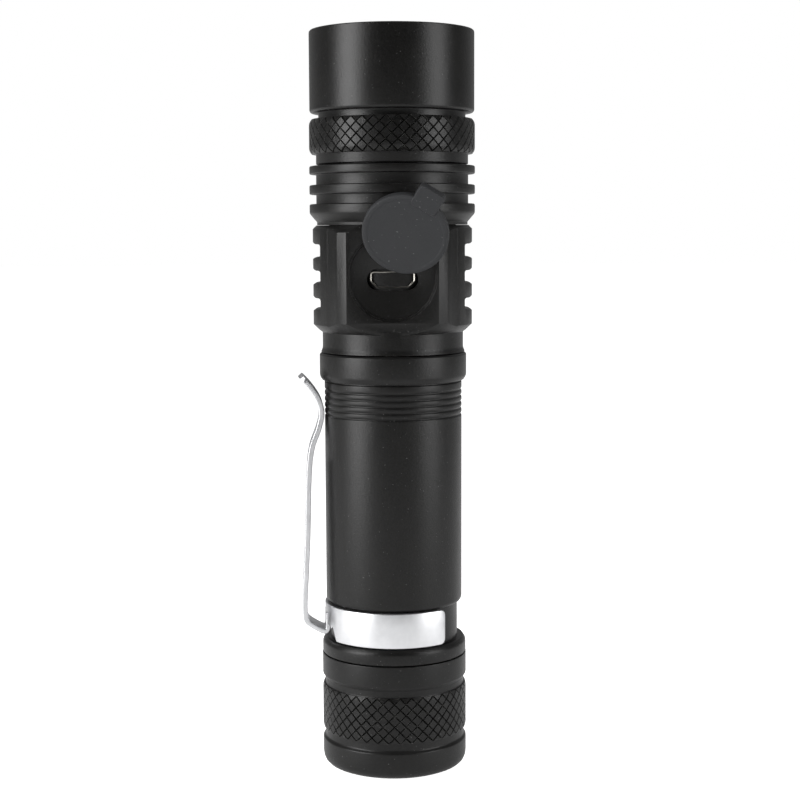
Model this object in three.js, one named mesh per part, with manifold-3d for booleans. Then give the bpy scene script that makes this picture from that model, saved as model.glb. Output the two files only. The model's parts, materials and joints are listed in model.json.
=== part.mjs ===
// A zooming tactical flashlight with a rechargeable cell, a micro-USB charging port under a
// swinging rubber cover, a steel pocket clip and a click switch in the tail cap.
// Millimetres. The barrel stands on its tail: the origin is on the barrel axis in the plane it
// stands on, +Z runs up to the lens, the charging port faces -Y and the clip hangs at -X.
import * as THREE from 'three';
import { mergeGeometries, mergeVertices } from 'three/addons/utils/BufferGeometryUtils.js';
import Module from 'manifold-3d';

const wasm = await Module();
wasm.setup();

// ---------------------------------------------------------------- driving dimensions
const GAP = 0.15;            // clearance between pieces that rest on each other
const ROUND = 32;            // sides of a large turned piece
const SMALL_ROUND = 24;      // sides of a small turned piece

const TAIL_R = 12.6;         // tail cap
const TAIL_TOP = 19.9;
const TAIL_EDGE = 1.5;       // rounding of the cap's lower edge
const TAIL_BAND_TOP = 4.9;   // lower smooth band, then the knurl and the upper smooth band
const TAIL_KNURL = [6.5, 14.4];
const TAIL_UPPER_BAND = 16.0;
const TAIL_GROOVE_R = 12.2;

const CELL_R = 9.2;          // 18650 cell
const CELL_LENGTH = 64;
const CELL_BOTTOM = 16.0;

const TUBE_R = 11.85;        // battery tube
const TUBE_BORE_R = 9.6;
const FLANGE_R = 12.55;
const FLANGE_Z = [TAIL_TOP + GAP, 22.75];
const CLIP_SEAT_R = 11.05;
const CLIP_SEAT_TOP = 29.1;
const COLLAR_R = 12.65;
const COLLAR_Z = [67.8, 72.5];
const TAIL_THREAD_R = 10.85;
const FRONT_THREAD_R = 10.7;
const O_RING_R = 0.6;        // section radius of the body O-rings

const NECK_R = 12.1;         // turned neck under the port block
const BLOCK_Z = [76.05, 94.2];
const BLOCK_CORNER_R = 14.22;
const BLOCK_SIDE_R = 13.63;
const FLAT_Y = 12.0;         // the port's flat, measured from the axis
const FLAT_HALF = 7.65;
const SLOT_FLOOR_X = 12.17;
const SLOT_Z = [[80.05, 81.95], [84.5, 86.6], [88.85, 91.05]];
const PORT_Z = 85.7;         // centre of the round port recess
const RECESS_R = 7.3;
const RECESS_FLOOR_R = 7.0;
const RECESS_FLOOR_Y = 11.2;
const USB_Z = 85.0;
const HOUSING_BORE_R = 9.9;
const SPIGOT_R = 10.85;
const SPIGOT_TOP = 100.2;

const FIN_R = 14.12;
const FIN_GAP_R = 12.97;
const FIN_BOTTOMS = [96.2, 99.4, 102.8];
const FIN_TOPS = [97.8, 101.0, 104.2];
const SLIDE_R = 11.2;        // tube that the head slides on
const SLIDE_RIM_R = 11.9;
const SLIDE_RIM_Z = [112.6, 115.6];

const HEAD_R = 14.0;
const HEAD_Z = [104.5, 126.8];
const HEAD_SKIRT_R = 12.95;
const HEAD_KNURL_Z = [106.2, 112.0];
const HEAD_KNURL_R = 14.1;
const HEAD_BARREL_Z = 113.1;
const HEAD_BORE_R = 12.15;
const HEAD_LIP_TOP = 105.2;
const LENS_Z = [118.8, 120.2];
const LENS_R = 11.9;
const LENS_CROWN = 124.2;

const COVER_R = 7.1;         // rubber disc of the port cover
const COVER_THICK = 1.5;
const COVER_OFFSET = 4.5;    // from the leash to the disc's centre
const COVER_BACK_Y = 12.15;  // back of the closed disc
const LEASH_Z = 90.2;
const LEASH_TILT = THREE.MathUtils.degToRad(14);
const LEASH_TRAVEL = 1.3;
const COVER_SWING = THREE.MathUtils.degToRad(149);
const TAB = [4.5, 2.1];      // width, and how far it stands past the disc

const CLIP_STEEL = 0.9;
const CLIP_WIDTH = 5.0;
const CLIP_BAND_Z = [22.95, 28.95];

// ---------------------------------------------------------------- helpers
function material(color, roughness, metalness) {
  return new THREE.MeshStandardMaterial({ color, roughness, metalness });
}

const anodised = () => material(0x1b1b1c, 0.45, 0.85);
const rubber = () => material(0x232426, 0.8, 0.0);
const blackRubber = () => material(0x101011, 0.7, 0.0);
const clipSteel = () => material(0xc9cbce, 0.25, 1.0);
const springSteel = () => material(0xb8b8b6, 0.3, 1.0);
const brass = () => material(0xc2a04a, 0.3, 1.0);
const aluminium = () => material(0xb9bcc0, 0.35, 1.0);
const boardGreen = () => material(0x1d5a34, 0.5, 0.1);
const boardWhite = () => material(0xe8e8e2, 0.5, 0.1);
const blackPlastic = () => material(0x151517, 0.5, 0.0);
const glass = () => material(0xd8e4ea, 0.05, 0.0);

// Join the shared corners and turn the faces outward, so that the mesh is one closed body.
function closed(geometry) {
  const bare = geometry.clone();
  bare.deleteAttribute('normal');
  bare.deleteAttribute('uv');
  const merged = mergeVertices(bare, 1e-4);
  const points = merged.attributes.position.array;
  const index = [];
  const source = merged.index.array;
  let volume = 0;
  for (let i = 0; i < source.length; i += 3) {
    const [a, b, c] = [source[i], source[i + 1], source[i + 2]];
    if (a === b || b === c || a === c) continue;
    index.push(a, b, c);
    const at = (k) => new THREE.Vector3(points[3 * k], points[3 * k + 1], points[3 * k + 2]);
    volume += at(a).dot(at(b).cross(at(c)));
  }
  if (volume < 0) index.reverse();
  const result = new THREE.BufferGeometry();
  result.setAttribute('position', new THREE.BufferAttribute(new Float32Array(points), 3));
  result.setIndex(index);
  return result;
}

function solid(geometry) {
  const shape = closed(geometry);
  return new wasm.Manifold(new wasm.Mesh({
    numProp: 3,
    vertProperties: new Float32Array(shape.attributes.position.array),
    triVerts: new Uint32Array(shape.index.array),
  }));
}

function geometryOf(manifold) {
  const mesh = manifold.getMesh();
  const result = new THREE.BufferGeometry();
  result.setAttribute('position', new THREE.BufferAttribute(new Float32Array(mesh.vertProperties), 3));
  result.setIndex(Array.from(mesh.triVerts));
  return result;
}

function subtractAll(base, cutters) {
  return cutters.reduce((left, cutter) => left.subtract(cutter), base);
}

// A turned piece: the profile is a list of [radius, height] that starts and ends on the axis.
function turned(profile, sides = ROUND) {
  const points = profile.map(([r, z]) => new THREE.Vector2(r, z));
  return new THREE.LatheGeometry(points, sides).rotateX(Math.PI / 2);
}

// A turned piece with a bore: the profile closes on itself.
function ring(profile, sides = ROUND) {
  return turned([...profile, profile[0]], sides);
}

function plainRing(inner, outer, low, high, sides = ROUND) {
  return ring([[inner, low], [outer, low], [outer, high], [inner, high]], sides);
}

function disc(radius, low, high, sides = SMALL_ROUND) {
  return turned([[0, low], [radius, low], [radius, high], [0, high]], sides);
}

function oRing(radius, height, section = O_RING_R, sides = ROUND) {
  const facets = 6;
  const profile = [];
  for (let i = 0; i < facets; i += 1) {
    const turn = (i / facets) * 2 * Math.PI;
    profile.push([radius + section * Math.cos(turn), height + section * Math.sin(turn)]);
  }
  return ring(profile, sides);
}

// A box given by its low and high corners.
function box(low, high) {
  const size = high.map((value, i) => value - low[i]);
  const centre = high.map((value, i) => (value + low[i]) / 2);
  return new THREE.BoxGeometry(...size).translate(...centre);
}

// An outline in X and Z, extruded along Y between two depths in front of the axis.
function towardsPort(shape, innerY, outerY, curveSegments = 10) {
  const depth = outerY - innerY;
  const geometry = new THREE.ExtrudeGeometry(shape, { depth, bevelEnabled: false, curveSegments });
  return geometry.rotateX(Math.PI / 2).translate(0, -innerY, 0);
}

function named(name, geometry, finish) {
  const mesh = new THREE.Mesh(closed(geometry), finish);
  mesh.name = name;
  return mesh;
}

// ---------------------------------------------------------------- barrel
function batteryTube() {
  const low = 13.7;
  const high = 77.4;
  const ringSeatLow = [18.2, 19.7];
  const ringSeatHigh = [73.1, 74.6];
  return ring([
    [TUBE_BORE_R, low],
    [TAIL_THREAD_R - 0.4, low],
    [TAIL_THREAD_R, low + 0.4],
    [TAIL_THREAD_R, ringSeatLow[0]],
    [TAIL_THREAD_R - 0.75, ringSeatLow[0]],
    [TAIL_THREAD_R - 0.75, ringSeatLow[1]],
    [TAIL_THREAD_R, ringSeatLow[1]],
    [TAIL_THREAD_R, FLANGE_Z[0]],
    [FLANGE_R - 0.25, FLANGE_Z[0]],
    [FLANGE_R, FLANGE_Z[0] + 0.25],
    [FLANGE_R, FLANGE_Z[1] - 0.8],
    [FLANGE_R - 0.5, FLANGE_Z[1]],
    [CLIP_SEAT_R, FLANGE_Z[1]],
    [CLIP_SEAT_R, CLIP_SEAT_TOP],
    [TUBE_R - 0.4, CLIP_SEAT_TOP],
    [TUBE_R, CLIP_SEAT_TOP + 0.6],
    [TUBE_R, COLLAR_Z[0]],
    [COLLAR_R - 0.5, COLLAR_Z[0]],
    [COLLAR_R, COLLAR_Z[0] + 0.7],
    [COLLAR_R, COLLAR_Z[1] - 0.3],
    [COLLAR_R - 0.3, COLLAR_Z[1]],
    [FRONT_THREAD_R, COLLAR_Z[1]],
    [FRONT_THREAD_R, ringSeatHigh[0]],
    [FRONT_THREAD_R - 0.75, ringSeatHigh[0]],
    [FRONT_THREAD_R - 0.75, ringSeatHigh[1]],
    [FRONT_THREAD_R, ringSeatHigh[1]],
    [FRONT_THREAD_R, high],
    [TUBE_BORE_R, high],
  ]);
}

// The block's outline: flats front and back, two bevelled strips at each corner, round sides.
function blockOutline() {
  const corner = [
    [FLAT_HALF, FLAT_Y],
    [9.17, 10.9],
    [10.7, 8.3],
    [11.05, 8.0],
  ];
  const outline = [];
  const sideSteps = 12;
  const sideAngle = Math.atan2(8.0, 11.05);
  for (const [x, y] of corner) outline.push([x, -y]);
  for (let i = 1; i < sideSteps; i += 1) {
    const turn = -sideAngle + (2 * sideAngle * i) / sideSteps;
    outline.push([BLOCK_SIDE_R * Math.cos(turn), BLOCK_SIDE_R * Math.sin(turn)]);
  }
  for (const [x, y] of [...corner].reverse()) outline.push([x, y]);
  const mirrored = outline.map(([x, y]) => [-x, y]).reverse();
  const shape = new THREE.Shape([...outline, ...mirrored].map(([x, y]) => new THREE.Vector2(x, y)));
  const height = BLOCK_Z[1] - BLOCK_Z[0];
  const geometry = new THREE.ExtrudeGeometry(shape, { depth: height, bevelEnabled: false });
  return geometry.translate(0, 0, BLOCK_Z[0]);
}

function stadium(width, height) {
  const r = height / 2;
  const half = width / 2 - r;
  const shape = new THREE.Shape();
  shape.absarc(half, 0, r, -Math.PI / 2, Math.PI / 2);
  shape.absarc(-half, 0, r, Math.PI / 2, (3 * Math.PI) / 2);
  return shape;
}

// Turn a piece built around the leash's base so that its own -Y lies along the tilted leash.
function placeOnLeash(geometry, out = 0, swing = 0) {
  const axis = new THREE.Vector3(0, -Math.cos(LEASH_TILT), -Math.sin(LEASH_TILT));
  const turn = new THREE.Matrix4().makeRotationAxis(axis, swing);
  const base = new THREE.Vector3(0, -FLAT_Y, LEASH_Z).addScaledVector(axis, out);
  return geometry.applyMatrix4(turn).translate(base.x, base.y, base.z);
}

function alongLeash(radius, inner, outer, sides = 16) {
  const rod = new THREE.CylinderGeometry(radius, radius, outer - inner, sides);
  rod.rotateX(LEASH_TILT);
  const middle = (inner + outer) / 2;
  return rod.translate(0, -middle * Math.cos(LEASH_TILT), -middle * Math.sin(LEASH_TILT));
}

function portHousing() {
  const envelope = turned([
    [0, BLOCK_Z[0]],
    [NECK_R, BLOCK_Z[0]],
    [BLOCK_CORNER_R + 0.1, BLOCK_Z[0] + 2.0],
    [BLOCK_CORNER_R + 0.1, BLOCK_Z[1] - 1.3],
    [BLOCK_CORNER_R - 1.2, BLOCK_Z[1]],
    [0, BLOCK_Z[1]],
  ]);
  const neck = turned([
    [0, COLLAR_Z[1] + GAP],
    [COLLAR_R - 0.25, COLLAR_Z[1] + GAP],
    [NECK_R, COLLAR_Z[1] + 0.85],
    [NECK_R, BLOCK_Z[0] + 0.5],
    [SPIGOT_R, BLOCK_Z[0] + 0.5],
    [SPIGOT_R, SPIGOT_TOP],
    [0, SPIGOT_TOP],
  ]);
  const body = solid(envelope).intersect(solid(blockOutline())).add(solid(neck));
  const bore = solid(turned([
    [0, COLLAR_Z[1] - 1],
    [FRONT_THREAD_R + 0.75, COLLAR_Z[1] - 1],
    [FRONT_THREAD_R + 0.75, 74.9],
    [FRONT_THREAD_R + GAP, 75.2],
    [FRONT_THREAD_R + GAP, 77.6],
    [CELL_R + 0.2, 77.6],
    [CELL_R + 0.2, 81.6],
    [HOUSING_BORE_R, 81.6],
    [HOUSING_BORE_R, SPIGOT_TOP + 1],
    [0, SPIGOT_TOP + 1],
  ]));
  const slots = [];
  for (const [low, high] of SLOT_Z) {
    for (const side of [-1, 1]) {
      const reach = [side * SLOT_FLOOR_X, side * (BLOCK_SIDE_R + 2)].sort((a, b) => a - b);
      slots.push(solid(box([reach[0], -10, low], [reach[1], 10, high])));
    }
  }
  const recessDepth = FLAT_Y - RECESS_FLOOR_Y;
  const flare = 2 * RECESS_R - RECESS_FLOOR_R;
  const recess = new THREE.CylinderGeometry(RECESS_FLOOR_R, flare, 2 * recessDepth, ROUND);
  recess.translate(0, -FLAT_Y, PORT_Z);
  const mouth = towardsPort(stadium(8.5, 3.6), 8.0, 12.5).translate(0, 0, USB_Z);
  const leashHole = placeOnLeash(alongLeash(1.4, -4, 1));
  return geometryOf(subtractAll(body, [bore, ...slots, solid(recess), solid(mouth), solid(leashHole)]));
}

function finnedNeck() {
  const profile = [
    [SPIGOT_R + 0.2, BLOCK_Z[1] + GAP],
    [12.87, BLOCK_Z[1] + GAP],
    [12.87, 94.75],
  ];
  FIN_BOTTOMS.forEach((low, i) => {
    if (i > 0) profile.push([FIN_GAP_R, low]);
    profile.push([FIN_R, low]);
    profile.push([FIN_R, FIN_TOPS[i]]);
    profile.push([i < 2 ? FIN_GAP_R : SLIDE_R, FIN_TOPS[i]]);
  });
  profile.push(
    [SLIDE_R, SLIDE_RIM_Z[0]],
    [SLIDE_RIM_R, SLIDE_RIM_Z[0]],
    [SLIDE_RIM_R, 113.3],
    [10.8, 113.3],
    [10.8, 114.7],
    [SLIDE_RIM_R, 114.7],
    [SLIDE_RIM_R, SLIDE_RIM_Z[1]],
    [9.3, SLIDE_RIM_Z[1]],
    [9.3, SPIGOT_TOP + 0.3],
    [SPIGOT_R + 0.2, SPIGOT_TOP + 0.3],
  );
  return ring(profile);
}

// ---------------------------------------------------------------- light engine
function ledPill() {
  const block = solid(disc(9.1, 107.6, 113.4, ROUND));
  const wireHoles = [-1, 1].map((side) => solid(disc(1.3, 107, 114, 12).translate(side * 5.4, 0, 0)));
  return geometryOf(subtractAll(block, wireHoles));
}

function ledBoard() {
  const board = solid(disc(8.0, 113.6, 115.2, 32));
  const notches = [-1, 1].map((side) => solid(disc(1.3, 113, 116, 12).translate(side * 5.4, 0, 0)));
  return geometryOf(subtractAll(board, notches));
}

function ledEmitter() {
  const base = solid(box([-2.5, -2.5, 115.35], [2.5, 2.5, 116.0]));
  const dome = new THREE.SphereGeometry(1.7, 16, 4, 0, 2 * Math.PI, 0, Math.PI / 2);
  const cap = new THREE.CircleGeometry(1.7, 16).rotateX(Math.PI / 2);
  const closedDome = mergeGeometries([dome, cap]).rotateX(Math.PI / 2).translate(0, 0, 115.95);
  return geometryOf(base.add(solid(closedDome)));
}

function ledWire(side) {
  const path = new THREE.CatmullRomCurve3([
    new THREE.Vector3(side * 4.0, 1.5, 104.0),
    new THREE.Vector3(side * 4.6, 1.0, 105.6),
    new THREE.Vector3(side * 5.4, 0, 107.4),
    new THREE.Vector3(side * 5.4, 0, 115.2),
    new THREE.Vector3(side * 4.9, 0.2, 116.2),
    new THREE.Vector3(side * 3.9, 0.4, 115.9),
  ]);
  const section = new THREE.Shape();
  section.absarc(0, 0, 0.45, 0, 2 * Math.PI);
  const options = { steps: 12, extrudePath: path, curveSegments: 3 };
  return new THREE.ExtrudeGeometry(section, options);
}

function driverBoard() {
  return disc(9.0, 101.6, 103.2, 32);
}

function driverInductor() {
  return disc(2.6, 98.2, 101.45, 16).translate(0, 3.4, 0);
}

// ---------------------------------------------------------------- head
function headBarrel() {
  return ring([
    [SLIDE_R + GAP, HEAD_Z[0]],
    [HEAD_SKIRT_R, HEAD_Z[0]],
    [HEAD_SKIRT_R, HEAD_KNURL_Z[0]],
    [HEAD_KNURL_R - 0.5, HEAD_KNURL_Z[0]],
    [HEAD_KNURL_R, HEAD_KNURL_Z[0] + 0.6],
    [HEAD_KNURL_R, HEAD_KNURL_Z[1] - 0.6],
    [HEAD_KNURL_R - 0.5, HEAD_KNURL_Z[1]],
    [12.5, HEAD_KNURL_Z[1]],
    [12.5, HEAD_BARREL_Z],
    [HEAD_R - 0.3, HEAD_BARREL_Z],
    [HEAD_R, HEAD_BARREL_Z + 0.3],
    [HEAD_R, HEAD_Z[1] - 0.4],
    [HEAD_R - 0.4, HEAD_Z[1]],
    [12.6, HEAD_Z[1]],
    [12.6, 121.4],
    [HEAD_BORE_R, 121.4],
    [HEAD_BORE_R, LENS_Z[0] - GAP],
    [10.7, LENS_Z[0] - GAP],
    [10.7, 117.6],
    [HEAD_BORE_R, 117.6],
    [HEAD_BORE_R, HEAD_LIP_TOP],
    [SLIDE_R + GAP, HEAD_LIP_TOP],
  ]);
}

function lens() {
  const crownBase = 10.6;
  const rise = LENS_CROWN - LENS_Z[1];
  const steps = 5;
  const profile = [[0, LENS_Z[0]], [LENS_R, LENS_Z[0]], [LENS_R, LENS_Z[1]]];
  for (let i = 0; i < steps; i += 1) {
    const turn = (i / steps) * (Math.PI / 2);
    profile.push([crownBase * Math.cos(turn), LENS_Z[1] + rise * Math.sin(turn)]);
  }
  profile.push([0, LENS_CROWN]);
  return turned(profile, ROUND);
}

function bezelRing() {
  return ring([
    [11.0, 121.7],
    [12.45, 121.7],
    [12.45, 126.4],
    [12.2, 126.6],
    [11.9, 126.6],
  ]);
}

// ---------------------------------------------------------------- charging port
function chargeBoard() {
  return disc(9.7, 81.75, 83.15, 32);
}

function chargeChip() {
  return box([-2.4, 1.5, 83.3], [2.4, 5.5, 84.9]);
}

function positiveContact() {
  return disc(3.0, 81.15, 81.6, 20);
}

// Micro-USB section: wide side up with small corners, lower corners slanted.
function socketShape(width, height, corner, slant) {
  const half = width / 2;
  const top = height / 2;
  return new THREE.Shape([
    new THREE.Vector2(-half + corner, top),
    new THREE.Vector2(-half, top - corner),
    new THREE.Vector2(-half, slant - top),
    new THREE.Vector2(-half + slant, -top),
    new THREE.Vector2(half - slant, -top),
    new THREE.Vector2(half, slant - top),
    new THREE.Vector2(half, top - corner),
    new THREE.Vector2(half - corner, top),
  ]);
}

function usbSocketShell() {
  const outside = solid(towardsPort(socketShape(7.6, 2.85, 0.6, 1.1), 5.4, 10.9));
  const inside = solid(towardsPort(socketShape(6.9, 2.15, 0.45, 0.9), 5.9, 11.5));
  return geometryOf(outside.subtract(inside)).translate(0, 0, USB_Z);
}

function usbSocketTongue() {
  const root = solid(box([-2.3, -7.0, -0.75], [2.3, -6.1, 0.8]));
  const tongue = solid(box([-1.95, -10.3, 0.1], [1.95, -6.5, 0.65]));
  return geometryOf(root.add(tongue)).translate(0, 0, USB_Z);
}

function usbContact(i) {
  const x = (i - 2) * 0.65;
  return box([x - 0.15, -10.1, USB_Z - 0.15], [x + 0.15, -7.3, USB_Z - 0.05]);
}

function coverLeash() {
  const rod = solid(alongLeash(1.1, -4.1, 0.5));
  const bulb = solid(alongLeash(1.75, -5.0, -4.05));
  return placeOnLeash(geometryOf(rod.add(bulb)), LEASH_TRAVEL);
}

function usbCover() {
  const back = COVER_BACK_Y - FLAT_Y;
  const rim = COVER_THICK - 0.3;
  const profile = [[0, 0], [COVER_R, 0], [COVER_R, rim], [COVER_R - 0.3, COVER_THICK], [0, COVER_THICK]];
  const plate = turned(profile, ROUND).rotateX(Math.PI / 2).translate(0, -back, -COVER_OFFSET);
  const tabLow = -COVER_OFFSET - COVER_R - TAB[1];
  const tab = box([-TAB[0] / 2, -back - COVER_THICK, tabLow], [TAB[0] / 2, -back, -COVER_OFFSET - 6]);
  const socket = alongLeash(1.4, -1, 0.85);
  const body = solid(plate).add(solid(tab)).subtract(solid(socket));
  return placeOnLeash(geometryOf(body), LEASH_TRAVEL, COVER_SWING);
}

// ---------------------------------------------------------------- cell
function batteryCell() {
  const top = CELL_BOTTOM + CELL_LENGTH;
  return turned([
    [0, CELL_BOTTOM],
    [CELL_R - 0.4, CELL_BOTTOM],
    [CELL_R, CELL_BOTTOM + 0.4],
    [CELL_R, top - 0.5],
    [CELL_R - 0.5, top],
    [0, top],
  ], ROUND);
}

function batteryInsulator() {
  return plainRing(3.4, 8.4, CELL_BOTTOM + CELL_LENGTH + GAP, CELL_BOTTOM + CELL_LENGTH + 0.45, 28);
}

function batteryPositiveCap() {
  return disc(3.0, CELL_BOTTOM + CELL_LENGTH + GAP, CELL_BOTTOM + CELL_LENGTH + 0.95, 20);
}

// ---------------------------------------------------------------- pocket clip
// The arm's middle line in X and Z, from the band, round the lower bend and up to the tip.
function clipPath() {
  const seat = CLIP_SEAT_R + GAP + CLIP_STEEL / 2;
  return new THREE.CatmullRomCurve3([
    new THREE.Vector3(-seat, 0, 27.2),
    new THREE.Vector3(-seat, 0, 25.4),
    new THREE.Vector3(-seat - 0.5, 0, 24.0),
    new THREE.Vector3(-13.4, 0, 23.5),
    new THREE.Vector3(-15.0, 0, 24.4),
    new THREE.Vector3(-15.75, 0, 26.4),
    new THREE.Vector3(-15.65, 0, 30.5),
    new THREE.Vector3(-15.1, 0, 40.0),
    new THREE.Vector3(-14.75, 0, 51.0),
    new THREE.Vector3(-14.2, 0, 56.0),
    new THREE.Vector3(-12.95, 0, 59.6),
    new THREE.Vector3(-12.45, 0, 62.2),
    new THREE.Vector3(-13.0, 0, 64.6),
    new THREE.Vector3(-14.4, 0, 66.8),
    new THREE.Vector3(-16.1, 0, 68.7),
  ], false, 'centripetal');
}

// A strip of even thickness along a path in the XZ plane.
function strip(path, steps, width, thickness) {
  const left = [];
  const right = [];
  for (let i = 0; i <= steps; i += 1) {
    const at = path.getPointAt(i / steps);
    const along = path.getTangentAt(i / steps);
    const side = new THREE.Vector2(-along.z, along.x).normalize().multiplyScalar(thickness / 2);
    left.push(new THREE.Vector2(at.x + side.x, at.z + side.y));
    right.push(new THREE.Vector2(at.x - side.x, at.z - side.y));
  }
  const shape = new THREE.Shape([...left, ...right.reverse()]);
  const geometry = new THREE.ExtrudeGeometry(shape, { depth: width, bevelEnabled: false });
  return geometry.rotateX(Math.PI / 2).translate(0, width / 2, 0);
}

// The C-shaped band, open at the right where the light slips in.
function clipBand() {
  const inner = CLIP_SEAT_R + GAP;
  const outer = inner + CLIP_STEEL;
  const openHalf = THREE.MathUtils.degToRad(48);
  const shape = new THREE.Shape();
  shape.absarc(0, 0, outer, openHalf, 2 * Math.PI - openHalf, false);
  shape.absarc(0, 0, inner, 2 * Math.PI - openHalf, openHalf, true);
  const depth = CLIP_BAND_Z[1] - CLIP_BAND_Z[0];
  const geometry = new THREE.ExtrudeGeometry(shape, { depth, bevelEnabled: false, curveSegments: 26 });
  return geometry.translate(0, 0, CLIP_BAND_Z[0]);
}

function pocketClip() {
  const band = solid(clipBand());
  const relief = solid(box([-16, -4.6, 20], [-8, 4.6, 25.2]));
  const arm = solid(strip(clipPath(), 32, CLIP_WIDTH, CLIP_STEEL));
  const window = solid(box([-18, -1.25, 53.6], [-10, 1.25, 58.0]));
  return geometryOf(band.subtract(relief).add(arm).subtract(window));
}

// ---------------------------------------------------------------- tail cap
function tailCap() {
  const edge = [];
  const steps = 4;
  for (let i = 0; i <= steps; i += 1) {
    const turn = (i / steps) * (Math.PI / 2);
    edge.push([TAIL_R - TAIL_EDGE + TAIL_EDGE * Math.sin(turn), TAIL_EDGE * (1 - Math.cos(turn))]);
  }
  return ring([
    [7.3, 0],
    ...edge,
    [TAIL_R, TAIL_BAND_TOP],
    [TAIL_GROOVE_R, TAIL_BAND_TOP],
    [TAIL_GROOVE_R, TAIL_KNURL[0]],
    [TAIL_R, TAIL_KNURL[0]],
    [TAIL_R, TAIL_KNURL[1]],
    [TAIL_GROOVE_R, TAIL_KNURL[1]],
    [TAIL_GROOVE_R, TAIL_UPPER_BAND],
    [TAIL_R, TAIL_UPPER_BAND],
    [TAIL_R, TAIL_TOP],
    [TAIL_THREAD_R + 0.65, TAIL_TOP],
    [TAIL_THREAD_R + 0.65, 18.0],
    [TAIL_THREAD_R + GAP, 17.7],
    [TAIL_THREAD_R + GAP, 13.5],
    [9.9, 13.5],
    [9.9, 3.95],
    [6.1, 3.95],
    [6.1, 1.3],
  ]);
}

function switchBoot() {
  return turned([
    [0, 0.5],
    [5.0, 0.5],
    [5.8, 1.2],
    [5.8, 4.1],
    [7.4, 4.1],
    [7.4, 4.9],
    [4.5, 4.9],
    [4.5, 1.7],
    [0, 1.7],
  ], 32);
}

function switchPlunger() {
  return turned([[0, 2.0], [3.6, 2.0], [3.6, 3.2], [2.1, 3.2], [2.1, 8.0], [0, 8.0]], 24);
}

function switchBody() {
  const block = solid(box([-4.3, -4.3, 6.35], [4.3, 4.3, 10.0]));
  return geometryOf(block.subtract(solid(disc(2.4, 6, 9.4, 24))));
}

function tailSpring() {
  const turns = 2.5;
  class Coil extends THREE.Curve {
    getPoint(t, target = new THREE.Vector3()) {
      const turn = t * turns * 2 * Math.PI;
      const radius = 5.2 - 2.2 * t;
      return target.set(radius * Math.cos(turn), radius * Math.sin(turn), 12.2 + 3.2 * t);
    }
  }
  const section = new THREE.Shape();
  section.absarc(0, 0, 0.35, 0, 2 * Math.PI);
  const options = { steps: 42, extrudePath: new Coil(), curveSegments: 3 };
  return new THREE.ExtrudeGeometry(section, options);
}

// ---------------------------------------------------------------- assembly
const flashlight = new THREE.Group();
flashlight.add(
  named('battery_tube', batteryTube(), anodised()),
  named('port_housing', portHousing(), anodised()),
  named('finned_neck', finnedNeck(), anodised()),
  named('front_tube_o_ring', oRing(FRONT_THREAD_R - 0.05, 73.85), blackRubber()),
  named('tail_tube_o_ring', oRing(TAIL_THREAD_R - 0.05, 18.95), blackRubber()),
  named('head_slide_o_ring', oRing(11.45, 114.0), blackRubber()),
  named('led_pill', ledPill(), brass()),
  named('led_board', ledBoard(), boardWhite()),
  named('led_emitter', ledEmitter(), material(0xe6d37a, 0.3, 0.0)),
  named('led_wire_red', ledWire(-1), material(0xa01818, 0.5, 0.0)),
  named('led_wire_black', ledWire(1), blackPlastic()),
  named('driver_board', driverBoard(), boardGreen()),
  named('driver_inductor', driverInductor(), blackPlastic()),
  named('charge_board', chargeBoard(), boardGreen()),
  named('charge_chip', chargeChip(), blackPlastic()),
  named('positive_contact', positiveContact(), brass()),
  named('usb_socket_shell', usbSocketShell(), springSteel()),
  named('usb_socket_tongue', usbSocketTongue(), blackPlastic()),
);
for (let i = 0; i < 5; i += 1) {
  flashlight.add(named(`usb_contact_${i + 1}`, usbContact(i), brass()));
}
flashlight.add(
  named('battery_cell', batteryCell(), material(0x3b6ea5, 0.4, 0.1)),
  named('battery_insulator', batteryInsulator(), boardWhite()),
  named('battery_positive_cap', batteryPositiveCap(), springSteel()),
  named('head_barrel', headBarrel(), anodised()),
  named('lens', lens(), glass()),
  named('lens_o_ring', oRing(11.45, 120.9, 0.55), blackRubber()),
  named('bezel_ring', bezelRing(), anodised()),
  named('pocket_clip', pocketClip(), clipSteel()),
  named('cover_leash', coverLeash(), rubber()),
  named('usb_cover', usbCover(), rubber()),
  named('tail_cap', tailCap(), anodised()),
  named('switch_boot', switchBoot(), blackRubber()),
  named('switch_plunger', switchPlunger(), blackPlastic()),
  named('boot_washer', plainRing(6.3, 9.7, 6.35, 7.0), springSteel()),
  named('switch_body', switchBody(), blackPlastic()),
  named('switch_board', disc(9.6, 10.2, 11.6, 32), boardGreen()),
  named('switch_retaining_ring', plainRing(6.6, 9.75, 11.8, 13.2), aluminium()),
  named('tail_spring', tailSpring(), springSteel()),
);

export default flashlight;
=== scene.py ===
# %% [markdown]
# # A zooming tactical flashlight, finished around its CAD frame
# The frame holds the real sizes, the joints and a plain solid for every piece. This file makes what the
# eye sees: turned aluminium with rolled knurls, a milled port block, a bent steel clip, rubber parts and
# an optical lens. Every piece is built around its CAD solid, so it moves with the right body. Two lie a
# little off it: the clip is turned by four degrees, and the socket is a quarter of a millimetre higher.

# %% Load the frame
import json
import math

import bmesh
import bpy
from mathutils import Matrix, Vector


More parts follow.
